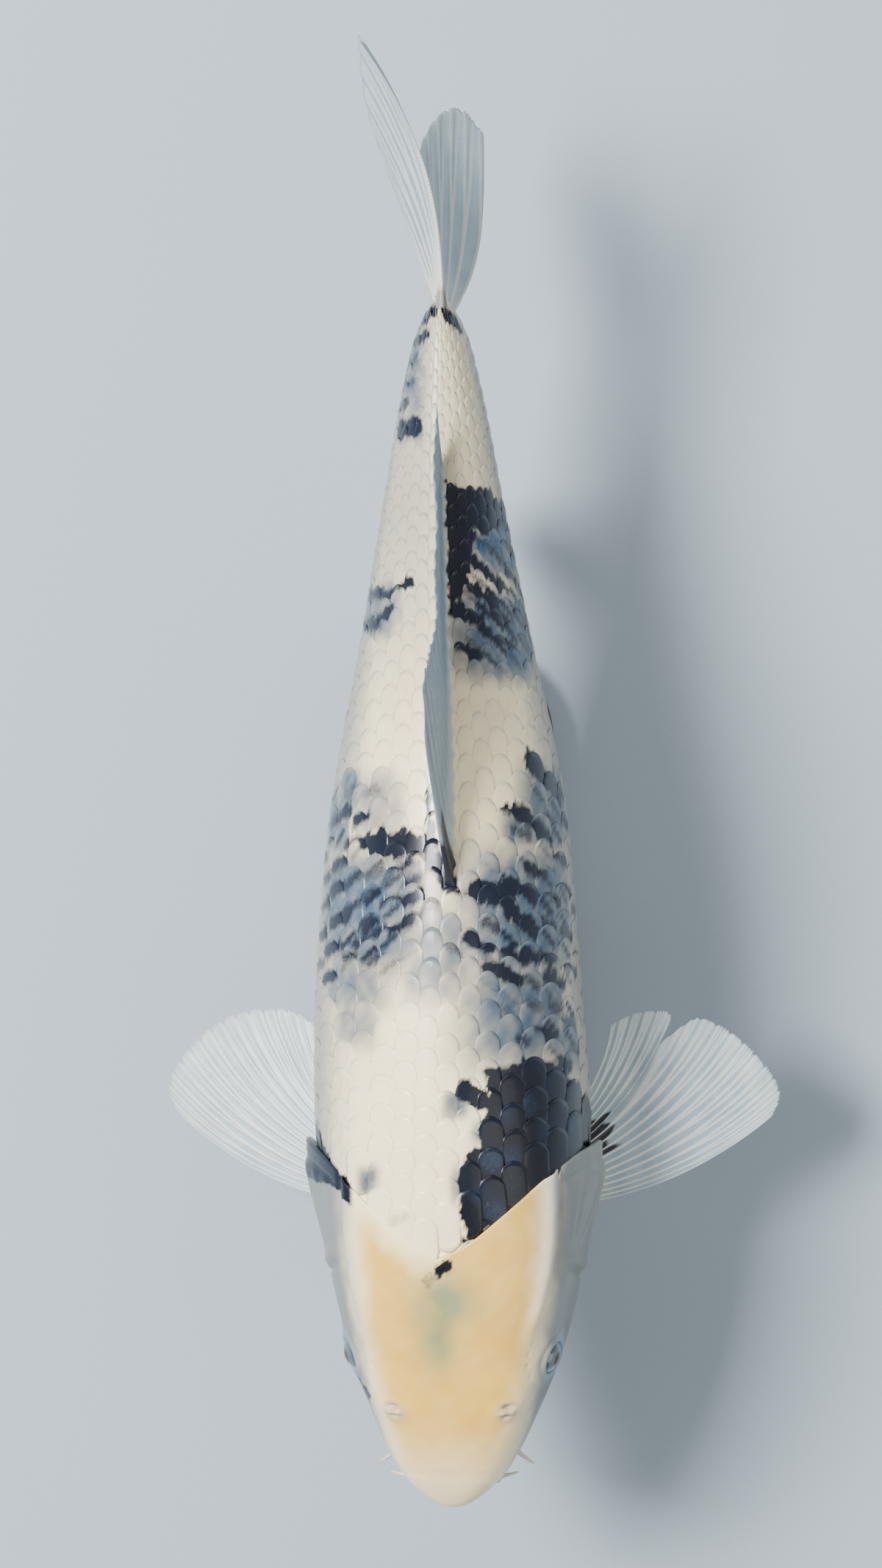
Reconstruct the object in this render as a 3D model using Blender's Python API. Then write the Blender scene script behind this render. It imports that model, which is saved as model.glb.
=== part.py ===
"""A koi carp at life size, held as it swims on a plain display stand.

The fish lies along Y with its head at -Y, its back up (+Z) and its left side at +X. Sizes along the
fish are counted from the tip of the snout, and heights from the body's axis, which runs from the
snout to the middle of the tail stalk. The stand's underside is at Z = 0, centred on the origin.
"""

import math

import bmesh
import bpy
import numpy as np

MM = 0.001
GAP = 0.3 * MM  # clearance kept between neighbouring solids

# ---- Driving sizes ----
STANDARD_LENGTH = 403 * MM  # snout to the end of the scaled body
STALK_END = 410 * MM  # where the tail fin's rays leave the body
SNOUT_Y = -185 * MM
AXIS_Z = 125 * MM

BASE_HALF_LENGTH = 118 * MM
BASE_HALF_WIDTH = 39 * MM
BASE_THICKNESS = 14 * MM
BASE_BEVEL = 2 * MM
ROD_RADIUS = 3 * MM
ROD_FOOT_RADIUS = 8 * MM
ROD_FOOT_HEIGHT = 2.5 * MM
ROD_STATIONS = {"stand_rod_front": 135 * MM, "stand_rod_rear": 245 * MM}

# Sections of the body, in mm: place from the snout, half width, height of the back over the axis,
# depth of the belly under it, height of the widest point, and how square the back and belly are.
SECTIONS = (
    (0, 0, 0, 0, 0.0, 0.02, 0.00),
    (6, 11.8, 10.0, 10.5, -0.5, 0.02, 0.00),
    (12, 17.2, 15.5, 16.0, -1.5, 0.03, 0.00),
    (20, 22.4, 21.0, 20.5, -2.5, 0.05, 0.01),
    (30, 27.2, 27.0, 24.5, -4.0, 0.06, 0.01),
    (41, 31.5, 32.0, 28.0, -4.5, 0.06, 0.02),
    (52, 35.0, 36.5, 31.5, -5.0, 0.05, 0.02),
    (74, 41.3, 44.5, 38.0, -5.0, 0.04, 0.02),
    (100, 45.8, 52.5, 45.0, -4.0, 0.02, 0.02),
    (124, 47.3, 57.3, 49.5, -3.0, 0.00, 0.02),
    (150, 47.0, 60.3, 53.0, -3.0, -0.01, 0.02),
    (188, 44.9, 61.0, 55.5, -2.0, -0.02, 0.02),
    (214, 43.0, 59.3, 55.3, -1.5, -0.02, 0.02),
    (240, 40.2, 55.5, 53.3, -1.0, -0.02, 0.01),
    (264, 36.0, 50.5, 49.8, -1.0, -0.02, 0.00),
    (289, 30.8, 44.3, 44.6, -0.5, -0.02, 0.00),
    (324, 24.2, 35.5, 35.8, 0.0, -0.01, 0.00),
    (349, 19.6, 30.0, 30.2, 0.0, 0.00, 0.00),
    (374, 15.2, 26.0, 26.5, 0.0, 0.00, 0.00),
    (390, 11.8, 24.5, 25.0, 0.0, 0.00, 0.00),
    (403, 7.8, 25.0, 25.5, 0.0, 0.00, 0.00),
    (410, 4.2, 26.0, 26.5, 0.0, 0.00, 0.00),
)
# The rear edge of the head, from the nape over the gill cover to the throat: share of the half
# girth down from the back's midline, and place from the snout in mm.
HEAD_EDGE = (
    (0.00, 86.0),
    (0.28, 110.0),
    (0.42, 121.0),
    (0.52, 123.0),
    (0.66, 113.5),
    (0.78, 99.5),
    (0.90, 86.5),
    (1.00, 79.0),
)
HEAD_CORE = 76 * MM  # tip of the hollow cone that parts the head from the trunk
TRUNK_CUTS = (205 * MM, 315 * MM)

GILL_FLARE = 0.14  # how far the gill cover stands out, as a share of the half width
GILL_TOP, GILL_BOTTOM = 0.27, 0.86  # shares of the half girth that the gill cover spans
GILL_WIDTH = 44 * MM
GILL_THICKNESS = 3.5 * MM

EYE_PLACE, EYE_GIRTH = 52 * MM, 0.385
EYE_RADIUS = 7.6 * MM
EYE_SINK = 4.8 * MM

MOUTH_CORNER = 17 * MM  # place of the mouth's corner, from the snout
MOUTH_FRONT_Z = -8.0 * MM
MOUTH_CORNER_Z = -13.0 * MM
THROAT_PLACE = 44 * MM  # where the jaw meets the throat
THROAT_Z = -27 * MM
LIP_RADIUS = 2.0 * MM


def spline(knots, values):
    """A curve with no kinks through the values at the knots, as a function."""
    x = np.asarray(knots, float)
    y = np.asarray(values, float)
    step = np.diff(x)
    slope = np.diff(y) / step
    system = np.eye(len(x))
    right = np.zeros(len(x))
    for i in range(1, len(x) - 1):
        system[i, i - 1 : i + 2] = step[i - 1], 2 * (step[i - 1] + step[i]), step[i]
        right[i] = 6 * (slope[i] - slope[i - 1])
    bend = np.linalg.solve(system, right)

    def at(where):
        t = np.clip(np.asarray(where, float), x[0], x[-1])
        i = np.clip(np.searchsorted(x, t, side="right") - 1, 0, len(x) - 2)
        h, a, b = step[i], x[i + 1] - t, t - x[i]
        curved = (a**3 * bend[i] + b**3 * bend[i + 1]) / (6 * h)
        straight = (y[i] / h - bend[i] * h / 6) * a + (y[i + 1] / h - bend[i + 1] * h / 6) * b
        return curved + straight

    return at


# ---- The body's surface ----
# The snout is round, so its widths grow with the square root of the distance from the tip.
ROOTS = [math.sqrt(row[0] * MM) for row in SECTIONS]
half_width, back_height, belly_depth, widest_height = (
    spline(ROOTS, [row[i] * MM for row in SECTIONS]) for i in range(1, 5)
)
back_square, belly_square = (spline(ROOTS, [row[i] for row in SECTIONS]) for i in (5, 6))
head_edge = spline([row[0] for row in HEAD_EDGE], [row[1] * MM for row in HEAD_EDGE])
# The fish swims with a slight sway, and its head leans a little to its right.
sway = spline((0, 0.11, 0.17, 0.26, 0.32, 0.41), (0.0022, 0.002, 0, -0.0003, -0.0015, -0.0026))
lean = spline((0, 0.10, 0.21, 0.30, 0.41), (-0.06, -0.06, 0.015, 0.0, -0.02))


def girth(angle):
    """Share of the half girth, 0 on the back and 1 on the belly, of an angle round the section."""
    return np.abs((np.asarray(angle) + math.pi) % (2 * math.pi) - math.pi) / math.pi


def flare(place, angle):
    """How much wider than the body the head is at its gill covers, as a share of the width."""
    share = np.clip((girth(angle) - 0.24) / 0.68, 0, 1)
    growth = np.clip((np.asarray(place) - 68 * MM) / (52 * MM), 0, 1.08) ** 2
    return GILL_FLARE * growth * np.sin(math.pi * share) ** 2


def surface(place, angle, grow=0.0, head=False):
    """Points of the body's skin. The angle turns from the back's midline down the left side."""
    place, angle = np.broadcast_arrays(np.asarray(place, float), np.asarray(angle, float))
    root = np.sqrt(np.clip(place, 0, None))
    middle = widest_height(root)
    up, side = np.cos(angle), np.sin(angle)
    square = belly_square(root) + (back_square(root) - belly_square(root)) * (1 + up) / 2
    width = half_width(root) + grow
    height = np.where(up > 0, back_height(root) - middle, belly_depth(root) + middle) + grow
    x = width * (side + square * np.sin(3 * angle)) / (1 - square)
    z = middle + height * (up - square * np.cos(3 * angle)) / (1 - square)
    if head:
        x = x * (1 + flare(place, angle))
    roll = lean(place)
    return np.stack(
        [
            x * np.cos(roll) + z * np.sin(roll) + sway(place),
            SNOUT_Y + place - grow * np.clip(1 - place / (30 * MM), 0, 1),
            z * np.cos(roll) - x * np.sin(roll) + AXIS_Z,
        ],
        axis=-1,
    )


def outward(place, angle, head=False):
    """Direction that points straight out of the skin."""
    step, turn = 0.2 * MM, 0.01
    along = surface(place + step, angle, 0, head) - surface(place - step, angle, 0, head)
    around = surface(place, angle + turn, 0, head) - surface(place, angle - turn, 0, head)
    normal = np.cross(around, along)
    return normal / np.linalg.norm(normal, axis=-1, keepdims=True)


# ---- Mesh helpers ----
def material(name, colour, roughness, metallic=0.0):
    made = bpy.data.materials.new(name)
    made.use_nodes = True
    shader = made.node_tree.nodes["Principled BSDF"]
    shader.inputs["Base Color"].default_value = (*colour, 1)
    shader.inputs["Roughness"].default_value = roughness
    shader.inputs["Metallic"].default_value = metallic
    return made


def add_object(name, points, faces, finish, smooth_angle=40):
    mesh = bpy.data.meshes.new(name)
    mesh.from_pydata([tuple(p) for p in points], [], faces)
    mesh.shade_smooth()
    mesh.set_sharp_from_angle(angle=math.radians(smooth_angle))
    return place_mesh(name, mesh, finish)


def place_mesh(name, mesh, finish, location=(0, 0, 0)):
    if finish:
        mesh.materials.append(finish)
    made = bpy.data.objects.new(name, mesh)
    made.location = location
    bpy.context.scene.collection.objects.link(made)
    return made


def loft(name, rings, finish, start=None, end=None):
    """A closed solid through rings of points. A start or end point closes that end with a fan."""
    count = len(rings[0])
    points = [p for ring in rings for p in ring]
    faces = []
    for r in range(len(rings) - 1):
        for i in range(count):
            a, b = r * count + i, r * count + (i + 1) % count
            faces.append((a, b, b + count, a + count))
    for tip, ring, flip in ((start, 0, True), (end, len(rings) - 1, False)):
        edge = [ring * count + i for i in range(count)]
        if tip is None:
            faces.append(tuple(reversed(edge)) if flip else tuple(edge))
            continue
        points.append(tip)
        for i in range(count):
            pair = (edge[(i + 1) % count], edge[i]) if flip else (edge[i], edge[(i + 1) % count])
            faces.append((*pair, len(points) - 1))
    return add_object(name, points, faces, finish)


def plate(name, front, back, finish):
    """A closed plate between two grids of points. The front faces along columns x rows."""
    rows, columns = front.shape[:2]
    points = [*front.reshape(-1, 3), *back.reshape(-1, 3)]
    far = rows * columns
    faces = []
    for r in range(rows - 1):
        for c in range(columns - 1):
            a = r * columns + c
            quad = (a, a + 1, a + columns + 1, a + columns)
            faces.append(quad)
            faces.append(tuple(far + i for i in reversed(quad)))
    rim = [(0, c) for c in range(columns)]
    rim += [(r, columns - 1) for r in range(1, rows)]
    rim += [(rows - 1, c) for c in range(columns - 2, -1, -1)]
    rim += [(r, 0) for r in range(rows - 2, 0, -1)]
    for (r0, c0), (r1, c1) in zip(rim, rim[1:] + rim[:1]):
        a, b = r0 * columns + c0, r1 * columns + c1
        faces.append((b, a, far + a, far + b))
    return add_object(name, points, faces, finish)


def fin(name, rays, root_thickness, edge_thickness, finish):
    """A fin as a thin closed plate. rays[i, j] is point j out along ray i."""
    along = np.gradient(rays, axis=1)
    across = np.gradient(rays, axis=0)
    normal = np.cross(along, across)
    normal /= np.linalg.norm(normal, axis=-1, keepdims=True)
    taper = np.linspace(0, 1, rays.shape[1])[None, :, None]
    half = (root_thickness + (edge_thickness - root_thickness) * taper**0.6) / 2
    return plate(name, rays + normal * half, rays - normal * half, finish)


def tube(name, path, radii, finish, sides=7):
    """A tapered round feeler along a path."""
    path = np.asarray(path, float)
    rings = []
    for i, (point, radius) in enumerate(zip(path, radii)):
        ahead = path[min(i + 1, len(path) - 1)] - path[max(i - 1, 0)]
        ahead /= np.linalg.norm(ahead)
        across = np.cross(ahead, (0, 0, 1))
        across /= np.linalg.norm(across)
        over = np.cross(ahead, across)
        turn = np.linspace(0, 2 * math.pi, sides, endpoint=False)[:, None]
        rings.append(point + radius * (np.cos(turn) * across + np.sin(turn) * over))
    return loft(name, rings, finish)


def cut(target, *cutters):
    """Cuts the cutters from the target and keeps them out of the part."""
    for cutter in cutters:
        step = target.modifiers.new("cut_" + cutter.name, "BOOLEAN")
        step.operation = "DIFFERENCE"
        step.object = cutter
        hide(cutter)


def keep_inside(target, limit):
    step = target.modifiers.new("inside_" + limit.name, "BOOLEAN")
    step.operation = "INTERSECT"
    step.object = limit
    hide(limit)


def hide(helper):
    helper.hide_render = True
    helper.display_type = "WIRE"


# ---- Head, jaw and trunk ----
ROUND_COUNT = 32
ROUND = np.linspace(0, 2 * math.pi, ROUND_COUNT, endpoint=False)
HEAD_RINGS = 16


def head_rings(grow=0.0, reach=0.0):
    """Rings from just behind the snout's tip to the gill cover's edge, closer near the snout."""
    rings = []
    for r in range(1, HEAD_RINGS + 1):
        share = (r / HEAD_RINGS) ** 1.7
        rings.append(surface((head_edge(girth(ROUND)) + reach) * share, ROUND, grow, head=True))
    return rings


def core_point(place):
    return (float(sway(place)), SNOUT_Y + place, AXIS_Z)


def head_solid(name, finish, grow=0.0, reach=0.0):
    tip = (float(sway(0)), SNOUT_Y - grow, AXIS_Z)
    return loft(name, head_rings(grow, reach), finish, start=tip, end=core_point(HEAD_CORE + reach))


def trunk_solid(name, finish, start, end, rings, grow=0.0):
    """A length of the body behind the head. With no start it begins at the head's rear edge."""
    front = head_edge(girth(ROUND)) + GAP - grow if start is None else np.full(ROUND_COUNT, start)
    shares = np.linspace(0, 1, rings)
    loops = [surface(front + (end - front) * share, ROUND, grow) for share in shares]
    tip = core_point(HEAD_CORE + GAP - grow) if start is None else None
    return loft(name, loops, finish, start=tip)


def jaw_wedge(name, ease):
    """A prism under the mouth's line that holds the lower jaw."""
    side = 60 * MM
    profile = (
        (-10 * MM, MOUTH_FRONT_Z + 1.5 * MM - ease),
        (MOUTH_CORNER - ease, MOUTH_CORNER_Z - ease),
        (THROAT_PLACE - ease, THROAT_Z - ease),
        (THROAT_PLACE - ease, -60 * MM),
        (-10 * MM, -60 * MM),
    )
    rings = [
        [(x, SNOUT_Y + place, AXIS_Z + z) for place, z in profile] for x in (side, -side)
    ]
    return loft(name, rings, None)


def gill_shape(name, side, inner, ease):
    """A curved slab round the gill cover on one side, a little larger by the ease."""
    rows, columns = 13, 6
    span = np.linspace(GILL_TOP, GILL_BOTTOM, rows)
    bulge = np.sin(math.pi * (span - GILL_TOP) / (GILL_BOTTOM - GILL_TOP)) ** 0.6
    rear = head_edge(span) + 4 * MM + ease
    front = head_edge(span) - 6 * MM - (GILL_WIDTH - 6 * MM) * bulge - ease
    stretch = np.linspace(-1, 1, rows) * ease / (60 * MM)
    angles = side * math.pi * (span + stretch)
    shares = np.linspace(0, 1, columns)
    places = front[:, None] + (rear - front)[:, None] * shares
    skin = surface(places, angles[:, None], 0, head=True)
    normal = outward(places, angles[:, None], head=True)
    low, high = skin - normal * inner, skin + normal * 3 * MM
    return plate(name, low, high, None) if side > 0 else plate(name, high, low, None)


def build_head(skin):
    head = head_solid("head", skin)
    jaw = head_solid("lower_jaw", skin)
    keep_inside(jaw, jaw_wedge("jaw_shape", GAP))
    cut(head, jaw_wedge("jaw_space", 0.0))
    for label, side in (("left", 1), ("right", -1)):
        cover = head_solid(f"gill_cover_{label}", skin)
        keep_inside(cover, gill_shape(f"gill_shape_{label}", side, GILL_THICKNESS, 0.0))
        cut(head, gill_shape(f"gill_recess_{label}", side, GILL_THICKNESS + GAP, 1.5 * GAP))
    return head


def build_trunk(skin):
    front_cut, rear_cut = TRUNK_CUTS
    trunk_solid("trunk_front", skin, None, front_cut, 8)
    trunk_solid("trunk_rear", skin, front_cut + GAP, rear_cut, 8)
    trunk_solid("tail_stalk", skin, rear_cut + GAP, STALK_END, 8)


# ---- Eyes, nostrils, lips and barbels ----
def ball(name, centre, radius, finish, segments=16, rings=8):
    shape = bmesh.new()
    bmesh.ops.create_uvsphere(shape, u_segments=segments, v_segments=rings, radius=radius)
    mesh = bpy.data.meshes.new(name)
    shape.to_mesh(mesh)
    shape.free()
    mesh.shade_smooth()
    return place_mesh(name, mesh, finish, centre)


def build_eyes(head, finish):
    for label, side in (("left", 1), ("right", -1)):
        angle = side * math.pi * EYE_GIRTH
        skin = surface(EYE_PLACE, angle, 0, head=True)
        centre = skin - outward(EYE_PLACE, angle, head=True) * EYE_SINK
        ball(f"eye_{label}", centre, EYE_RADIUS, finish)
        cut(head, ball(f"eye_socket_{label}", centre, EYE_RADIUS + GAP, None))


def build_nostrils(skin, keepout):
    for label, side in (("left", 1), ("right", -1)):
        centre = surface(36.5 * MM, side * math.pi * 0.195, 0, head=True)
        cut(ball(f"nostril_{label}", centre, 2.9 * MM, skin, 12, 8), keepout)


def mouth_level(place):
    """Height of the closed mouth's line over the body's axis."""
    return MOUTH_FRONT_Z + (MOUTH_CORNER_Z - MOUTH_FRONT_Z) * place / MOUTH_CORNER


def mouth_line(count, rise):
    """Points on the snout's skin a little over or under the closed mouth, from right to left."""
    trial = np.linspace(1 * MM, 12 * MM, 400)
    misses = np.abs(mouth_level(trial) + rise + belly_depth(np.sqrt(trial)))
    front = trial[int(np.argmin(misses))]
    points = []
    for turn in np.linspace(-math.pi / 2, math.pi / 2, count):
        place = front + (MOUTH_CORNER - front) * (1 - math.cos(turn))
        level = AXIS_Z + mouth_level(place) + rise * (0.4 + 0.6 * math.cos(turn))
        around = math.copysign(math.pi, turn) * np.linspace(0.5, 1, 400)
        misses = np.abs(surface(place, around, 0, head=True)[:, 2] - level)
        points.append(surface(place, around[int(np.argmin(misses))], 0, head=True))
    points[count // 2][0] = sway(0)
    return np.array(points)


def build_lips(skin, keepout):
    count = 13
    radii = LIP_RADIUS * (0.45 + 0.55 * np.cos(np.linspace(-1.5, 1.5, count)) ** 0.5)
    rise = LIP_RADIUS + GAP / 2
    cut(tube("upper_lip", mouth_line(count, rise), radii, skin), keepout)
    cut(tube("lower_lip", mouth_line(count, -rise), radii, skin), keepout)


BARBELS = {
    # place and girth share of the root, then reach outward, back and down, and root radius, in mm
    "barbel_short": (9.5, 0.60, 7.0, 1.0, 3.5, 0.85),
    "barbel_long": (19.0, 0.70, 8.5, -8.0, 8.5, 1.05),
}


def build_barbels(skin, keepout):
    for kind, (place, share, out, back, down, radius) in BARBELS.items():
        for label, side in (("left", 1), ("right", -1)):
            root = surface(place * MM, side * math.pi * share, 0, head=True)
            steps = np.linspace(-0.12, 1, 8)
            path = [
                root + MM * np.array((side * out * t, back * t, -down * abs(t) * t)) for t in steps
            ]
            radii = [MM * max(0.3, radius * (1 - 0.72 * t)) for t in steps]
            cut(tube(f"{kind}_{label}", path, radii, skin), keepout)


# ---- Fins ----
def pointing(elevation, azimuth=0.0):
    """Direction of an angle above the level, turned from straight back towards the left."""
    return np.array(
        (
            math.cos(elevation) * math.sin(azimuth),
            math.cos(elevation) * math.cos(azimuth),
            math.sin(elevation),
        )
    )


def dorsal_rays(count, steps):
    """The back fin, half folded: its rays sweep back, and it leans to the fish's right."""
    length = spline((0, 0.05, 0.12, 0.25, 0.42, 0.65, 0.85, 1), (56, 69, 68, 53, 40, 32, 29, 25))
    rays = []
    for share in np.linspace(0, 1, count):
        place = 212 * MM + share * 137 * MM
        root = surface(place, 0.0) - (0, 0, 2 * MM)
        ray = [root]
        for step in range(1, steps):
            rise = math.radians(43 - 13 * share - 12 * step / steps)
            tilt = math.radians(13)
            way = np.array(
                (-math.sin(rise) * math.sin(tilt), math.cos(rise), math.sin(rise) * math.cos(tilt))
            )
            ray.append(ray[-1] + way * float(length(share)) * MM / (steps - 1))
        rays.append(ray)
    return np.array(rays)


def anal_rays(count, steps):
    length = spline((0, 0.12, 0.3, 0.6, 1), (38, 54, 52, 40, 27))
    rays = []
    for share in np.linspace(0, 1, count):
        root = surface(306 * MM + share * 28 * MM, math.pi) + (0, 0, 2 * MM)
        ray = [root]
        for step in range(1, steps):
            drop = math.radians(-58 + 30 * share + 12 * step / steps)
            ray.append(ray[-1] + pointing(drop, -0.05) * float(length(share)) * MM / (steps - 1))
        rays.append(ray)
    return np.array(rays)


def pelvic_rays(side, count, steps):
    length = spline((0, 0.15, 0.5, 1), (50, 54, 50, 36))
    first = np.array((side * 0.44, 0.68, -0.59))
    last = np.array((side * 0.02, 0.95, -0.30))
    rays = []
    for share in np.linspace(0, 1, count):
        root = surface(206 * MM + 9 * MM * share, side * math.pi * (0.885 + 0.05 * share))
        root = root + (0, 0, 2.5 * MM)
        way = first + (last - first) * share
        way /= np.linalg.norm(way)
        bend = np.array((0, 0.25, 0.10))
        reach = float(length(share)) * MM
        rays.append([root + (way + bend * t) * reach * t for t in np.linspace(0, 1, steps)])
    return np.array(rays)


# The breast fins spread level or drooping: side and droop in degrees.
BREAST_FINS = {"left": (1, 8), "right": (-1, 25)}
BREAST_BEND = 38  # degrees that each ray curves back
NOTCH_SHARE, NOTCH_WIDTH, NOTCH_DEPTH = 0.66, 0.03, 0.20  # a split in the left fin's web


def pectoral_rays(label, count, steps):
    side, droop = BREAST_FINS[label]
    droop = math.radians(droop)
    shares = (0, 0.15, 0.3, 0.45, 0.6, 0.75, 0.9, 1)
    length = spline(shares, (92, 97, 94, 89, 81, 71, 61, 52))
    sweep = spline(shares, (20, 23, 29, 36, 43.5, 51, 57, 61))
    rays = []
    for share in np.linspace(0, 1, count):
        root = surface((98.5 + 19 * share) * MM, side * math.pi * (0.785 - 0.02 * share))
        root = root - np.array((side * 4 * MM, 0, -2 * MM))
        reach = float(length(share)) * MM
        if label == "left":
            reach *= 1 - NOTCH_DEPTH * math.exp(-(((share - NOTCH_SHARE) / NOTCH_WIDTH) ** 2))
        ray = [root]
        for step in range(1, steps):
            done = (step - 0.5) / (steps - 1)
            turn = math.radians(float(sweep(share)) + BREAST_BEND * (done - 0.5))
            dip = droop * (0.85 + 0.3 * done)
            drop = -math.cos(turn) * math.sin(dip) - 0.08 * math.sin(turn)
            way = np.array((side * math.cos(turn) * math.cos(dip), math.sin(turn), drop))
            ray.append(ray[-1] + way * reach / (steps - 1))
        rays.append(ray)
    return np.array(rays)


def caudal_rays(shares, steps):
    """The tail fin from its top ray, 0, to its bottom ray, 1. Its lobes sweep to either side."""
    length = spline((0, 0.07, 0.2, 0.35, 0.5, 0.65, 0.8, 0.93, 1), (88, 91, 78, 56, 42, 54, 75, 82, 75))
    rise = spline((0, 0.2, 0.5, 0.8, 1), (25, 17, 0, -17, -25))
    drift = spline((0, 0.12, 0.28, 0.5, 0.7, 0.85, 0.93, 1), (-26, -28, -24, -15, -8, 1, 8, 15))
    late = spline((0, 0.2, 0.4, 0.5, 1), (2.6, 1.7, 1.1, 1.0, 1.0))
    rays = []
    for share in shares:
        start = np.array((float(sway(STALK_END)), SNOUT_Y + STALK_END - 3.5 * MM, AXIS_Z))
        start = start + (0, 0, (25.0 - 50.5 * share) * MM)
        early = max(0.0, 2 * share - 1) ** 1.5  # the lower lobe turns aside close to its root
        ray = []
        for done in np.linspace(0, 1, steps) ** 1.15:
            angle = math.radians(float(rise(share)) * (1.25 - 0.5 * done))
            reach = float(length(share)) * MM * done
            turned = (1 - early) * done ** float(late(share)) + early * (1 - (1 - done) ** 3.5)
            aside = float(drift(share)) * MM * turned
            ray.append(start + (aside, reach * math.cos(angle), reach * math.sin(angle)))
        rays.append(ray)
    return np.array(rays)


def build_fins(finish, keepouts):
    cut(fin("dorsal_fin", dorsal_rays(18, 6), 2.6 * MM, 0.7 * MM, finish), keepouts[0])
    cut(fin("anal_fin", anal_rays(8, 5), 2.4 * MM, 0.7 * MM, finish), keepouts[0])
    for label, side in (("left", 1), ("right", -1)):
        pelvic = pelvic_rays(side, 8, 5)[::side]
        cut(fin(f"pelvic_fin_{label}", pelvic, 3.0 * MM, 0.7 * MM, finish), keepouts[0])
        pectoral = pectoral_rays(label, 25 if label == "left" else 15, 6)[::side]
        cut(fin(f"pectoral_fin_{label}", pectoral, 3.6 * MM, 0.7 * MM, finish), *keepouts)
    half_split = 0.004  # the two lobes part along the middle ray
    upper = caudal_rays(np.linspace(0, 0.5 - half_split, 11), 7)
    lower = caudal_rays(np.linspace(0.5 + half_split, 1, 11), 7)
    cut(fin("tail_fin_upper", upper, 3.2 * MM, 0.7 * MM, finish), keepouts[0])
    cut(fin("tail_fin_lower", lower, 3.2 * MM, 0.7 * MM, finish), keepouts[0])


# ---- Stand ----
def stadium(half_length, half_width, height, count=12):
    """Outline of a plate with round ends."""
    points = []
    for end in (1, -1):
        for turn in np.linspace(0, math.pi, count):
            x = half_width * math.cos(turn) * end
            y = ((half_length - half_width) + half_width * math.sin(turn)) * end
            points.append((x, y, height))
    return points


def build_stand(wood, steel, keepout):
    inset = BASE_BEVEL
    rings = [
        stadium(BASE_HALF_LENGTH - 0.5 * MM, BASE_HALF_WIDTH - 0.5 * MM, 0),
        stadium(BASE_HALF_LENGTH, BASE_HALF_WIDTH, 0.5 * MM),
        stadium(BASE_HALF_LENGTH, BASE_HALF_WIDTH, BASE_THICKNESS - inset),
        stadium(BASE_HALF_LENGTH - inset, BASE_HALF_WIDTH - inset, BASE_THICKNESS),
    ]
    loft("stand_base", rings, wood)
    for name, place in ROD_STATIONS.items():
        foot = BASE_THICKNESS + GAP
        outline = (
            (ROD_FOOT_RADIUS, foot),
            (ROD_FOOT_RADIUS, foot + ROD_FOOT_HEIGHT - 0.6 * MM),
            (ROD_FOOT_RADIUS - 0.6 * MM, foot + ROD_FOOT_HEIGHT),
            (ROD_RADIUS, foot + ROD_FOOT_HEIGHT),
            (ROD_RADIUS, AXIS_Z - 30 * MM),
        )
        turn = np.linspace(0, 2 * math.pi, 18, endpoint=False)
        rings = [[(r * math.cos(a), r * math.sin(a), z) for a in turn] for r, z in outline]
        rod = loft(name, rings, steel)
        rod.location = (float(sway(place)), SNOUT_Y + place, 0)
        cut(rod, keepout)


def main():
    for old in list(bpy.data.objects):
        bpy.data.objects.remove(old)
    skin = material("koi_skin", (0.86, 0.83, 0.74), 0.35)
    web = material("fin_web", (0.80, 0.82, 0.80), 0.4)
    eye = material("eye_gloss", (0.05, 0.05, 0.06), 0.1)
    wood = material("dark_wood", (0.12, 0.07, 0.045), 0.45)
    steel = material("brushed_steel", (0.6, 0.6, 0.6), 0.3, 1.0)

    head = build_head(skin)
    build_eyes(head, eye)
    build_trunk(skin)
    head_keepout = head_solid("head_keepout", None, 1.5 * GAP, GAP)
    trunk_keepout = trunk_solid("trunk_keepout", None, None, STALK_END + GAP, 28, 1.3 * GAP)
    build_nostrils(skin, head_keepout)
    build_lips(skin, head_keepout)
    build_barbels(skin, head_keepout)
    build_fins(web, (trunk_keepout, head_keepout))
    build_stand(wood, steel, trunk_keepout)


main()
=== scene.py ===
"""A koi carp at life size, as a painted museum model held over a flat wooden base.

The fish lies along Y with its head at -Y, its back up and its left side at +X. Places along it are
counted from the tip of the snout, and arcs round it from the middle of the back.
"""

import math

import bpy
import numpy as np
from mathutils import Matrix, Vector


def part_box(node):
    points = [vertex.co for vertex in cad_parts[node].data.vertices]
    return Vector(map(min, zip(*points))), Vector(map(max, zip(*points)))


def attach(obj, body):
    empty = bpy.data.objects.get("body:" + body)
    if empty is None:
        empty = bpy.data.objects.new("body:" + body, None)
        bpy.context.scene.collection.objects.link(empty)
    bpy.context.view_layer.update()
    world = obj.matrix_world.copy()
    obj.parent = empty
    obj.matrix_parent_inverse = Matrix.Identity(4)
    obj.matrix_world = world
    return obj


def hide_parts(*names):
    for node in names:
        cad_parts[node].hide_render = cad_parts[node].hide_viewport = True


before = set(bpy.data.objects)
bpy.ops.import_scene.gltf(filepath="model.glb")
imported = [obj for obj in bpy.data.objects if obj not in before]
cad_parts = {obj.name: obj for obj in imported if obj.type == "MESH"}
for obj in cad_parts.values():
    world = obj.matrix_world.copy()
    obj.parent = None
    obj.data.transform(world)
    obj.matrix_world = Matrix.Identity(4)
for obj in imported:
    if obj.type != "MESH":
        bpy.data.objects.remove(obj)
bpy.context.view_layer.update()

MM = 0.001


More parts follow.
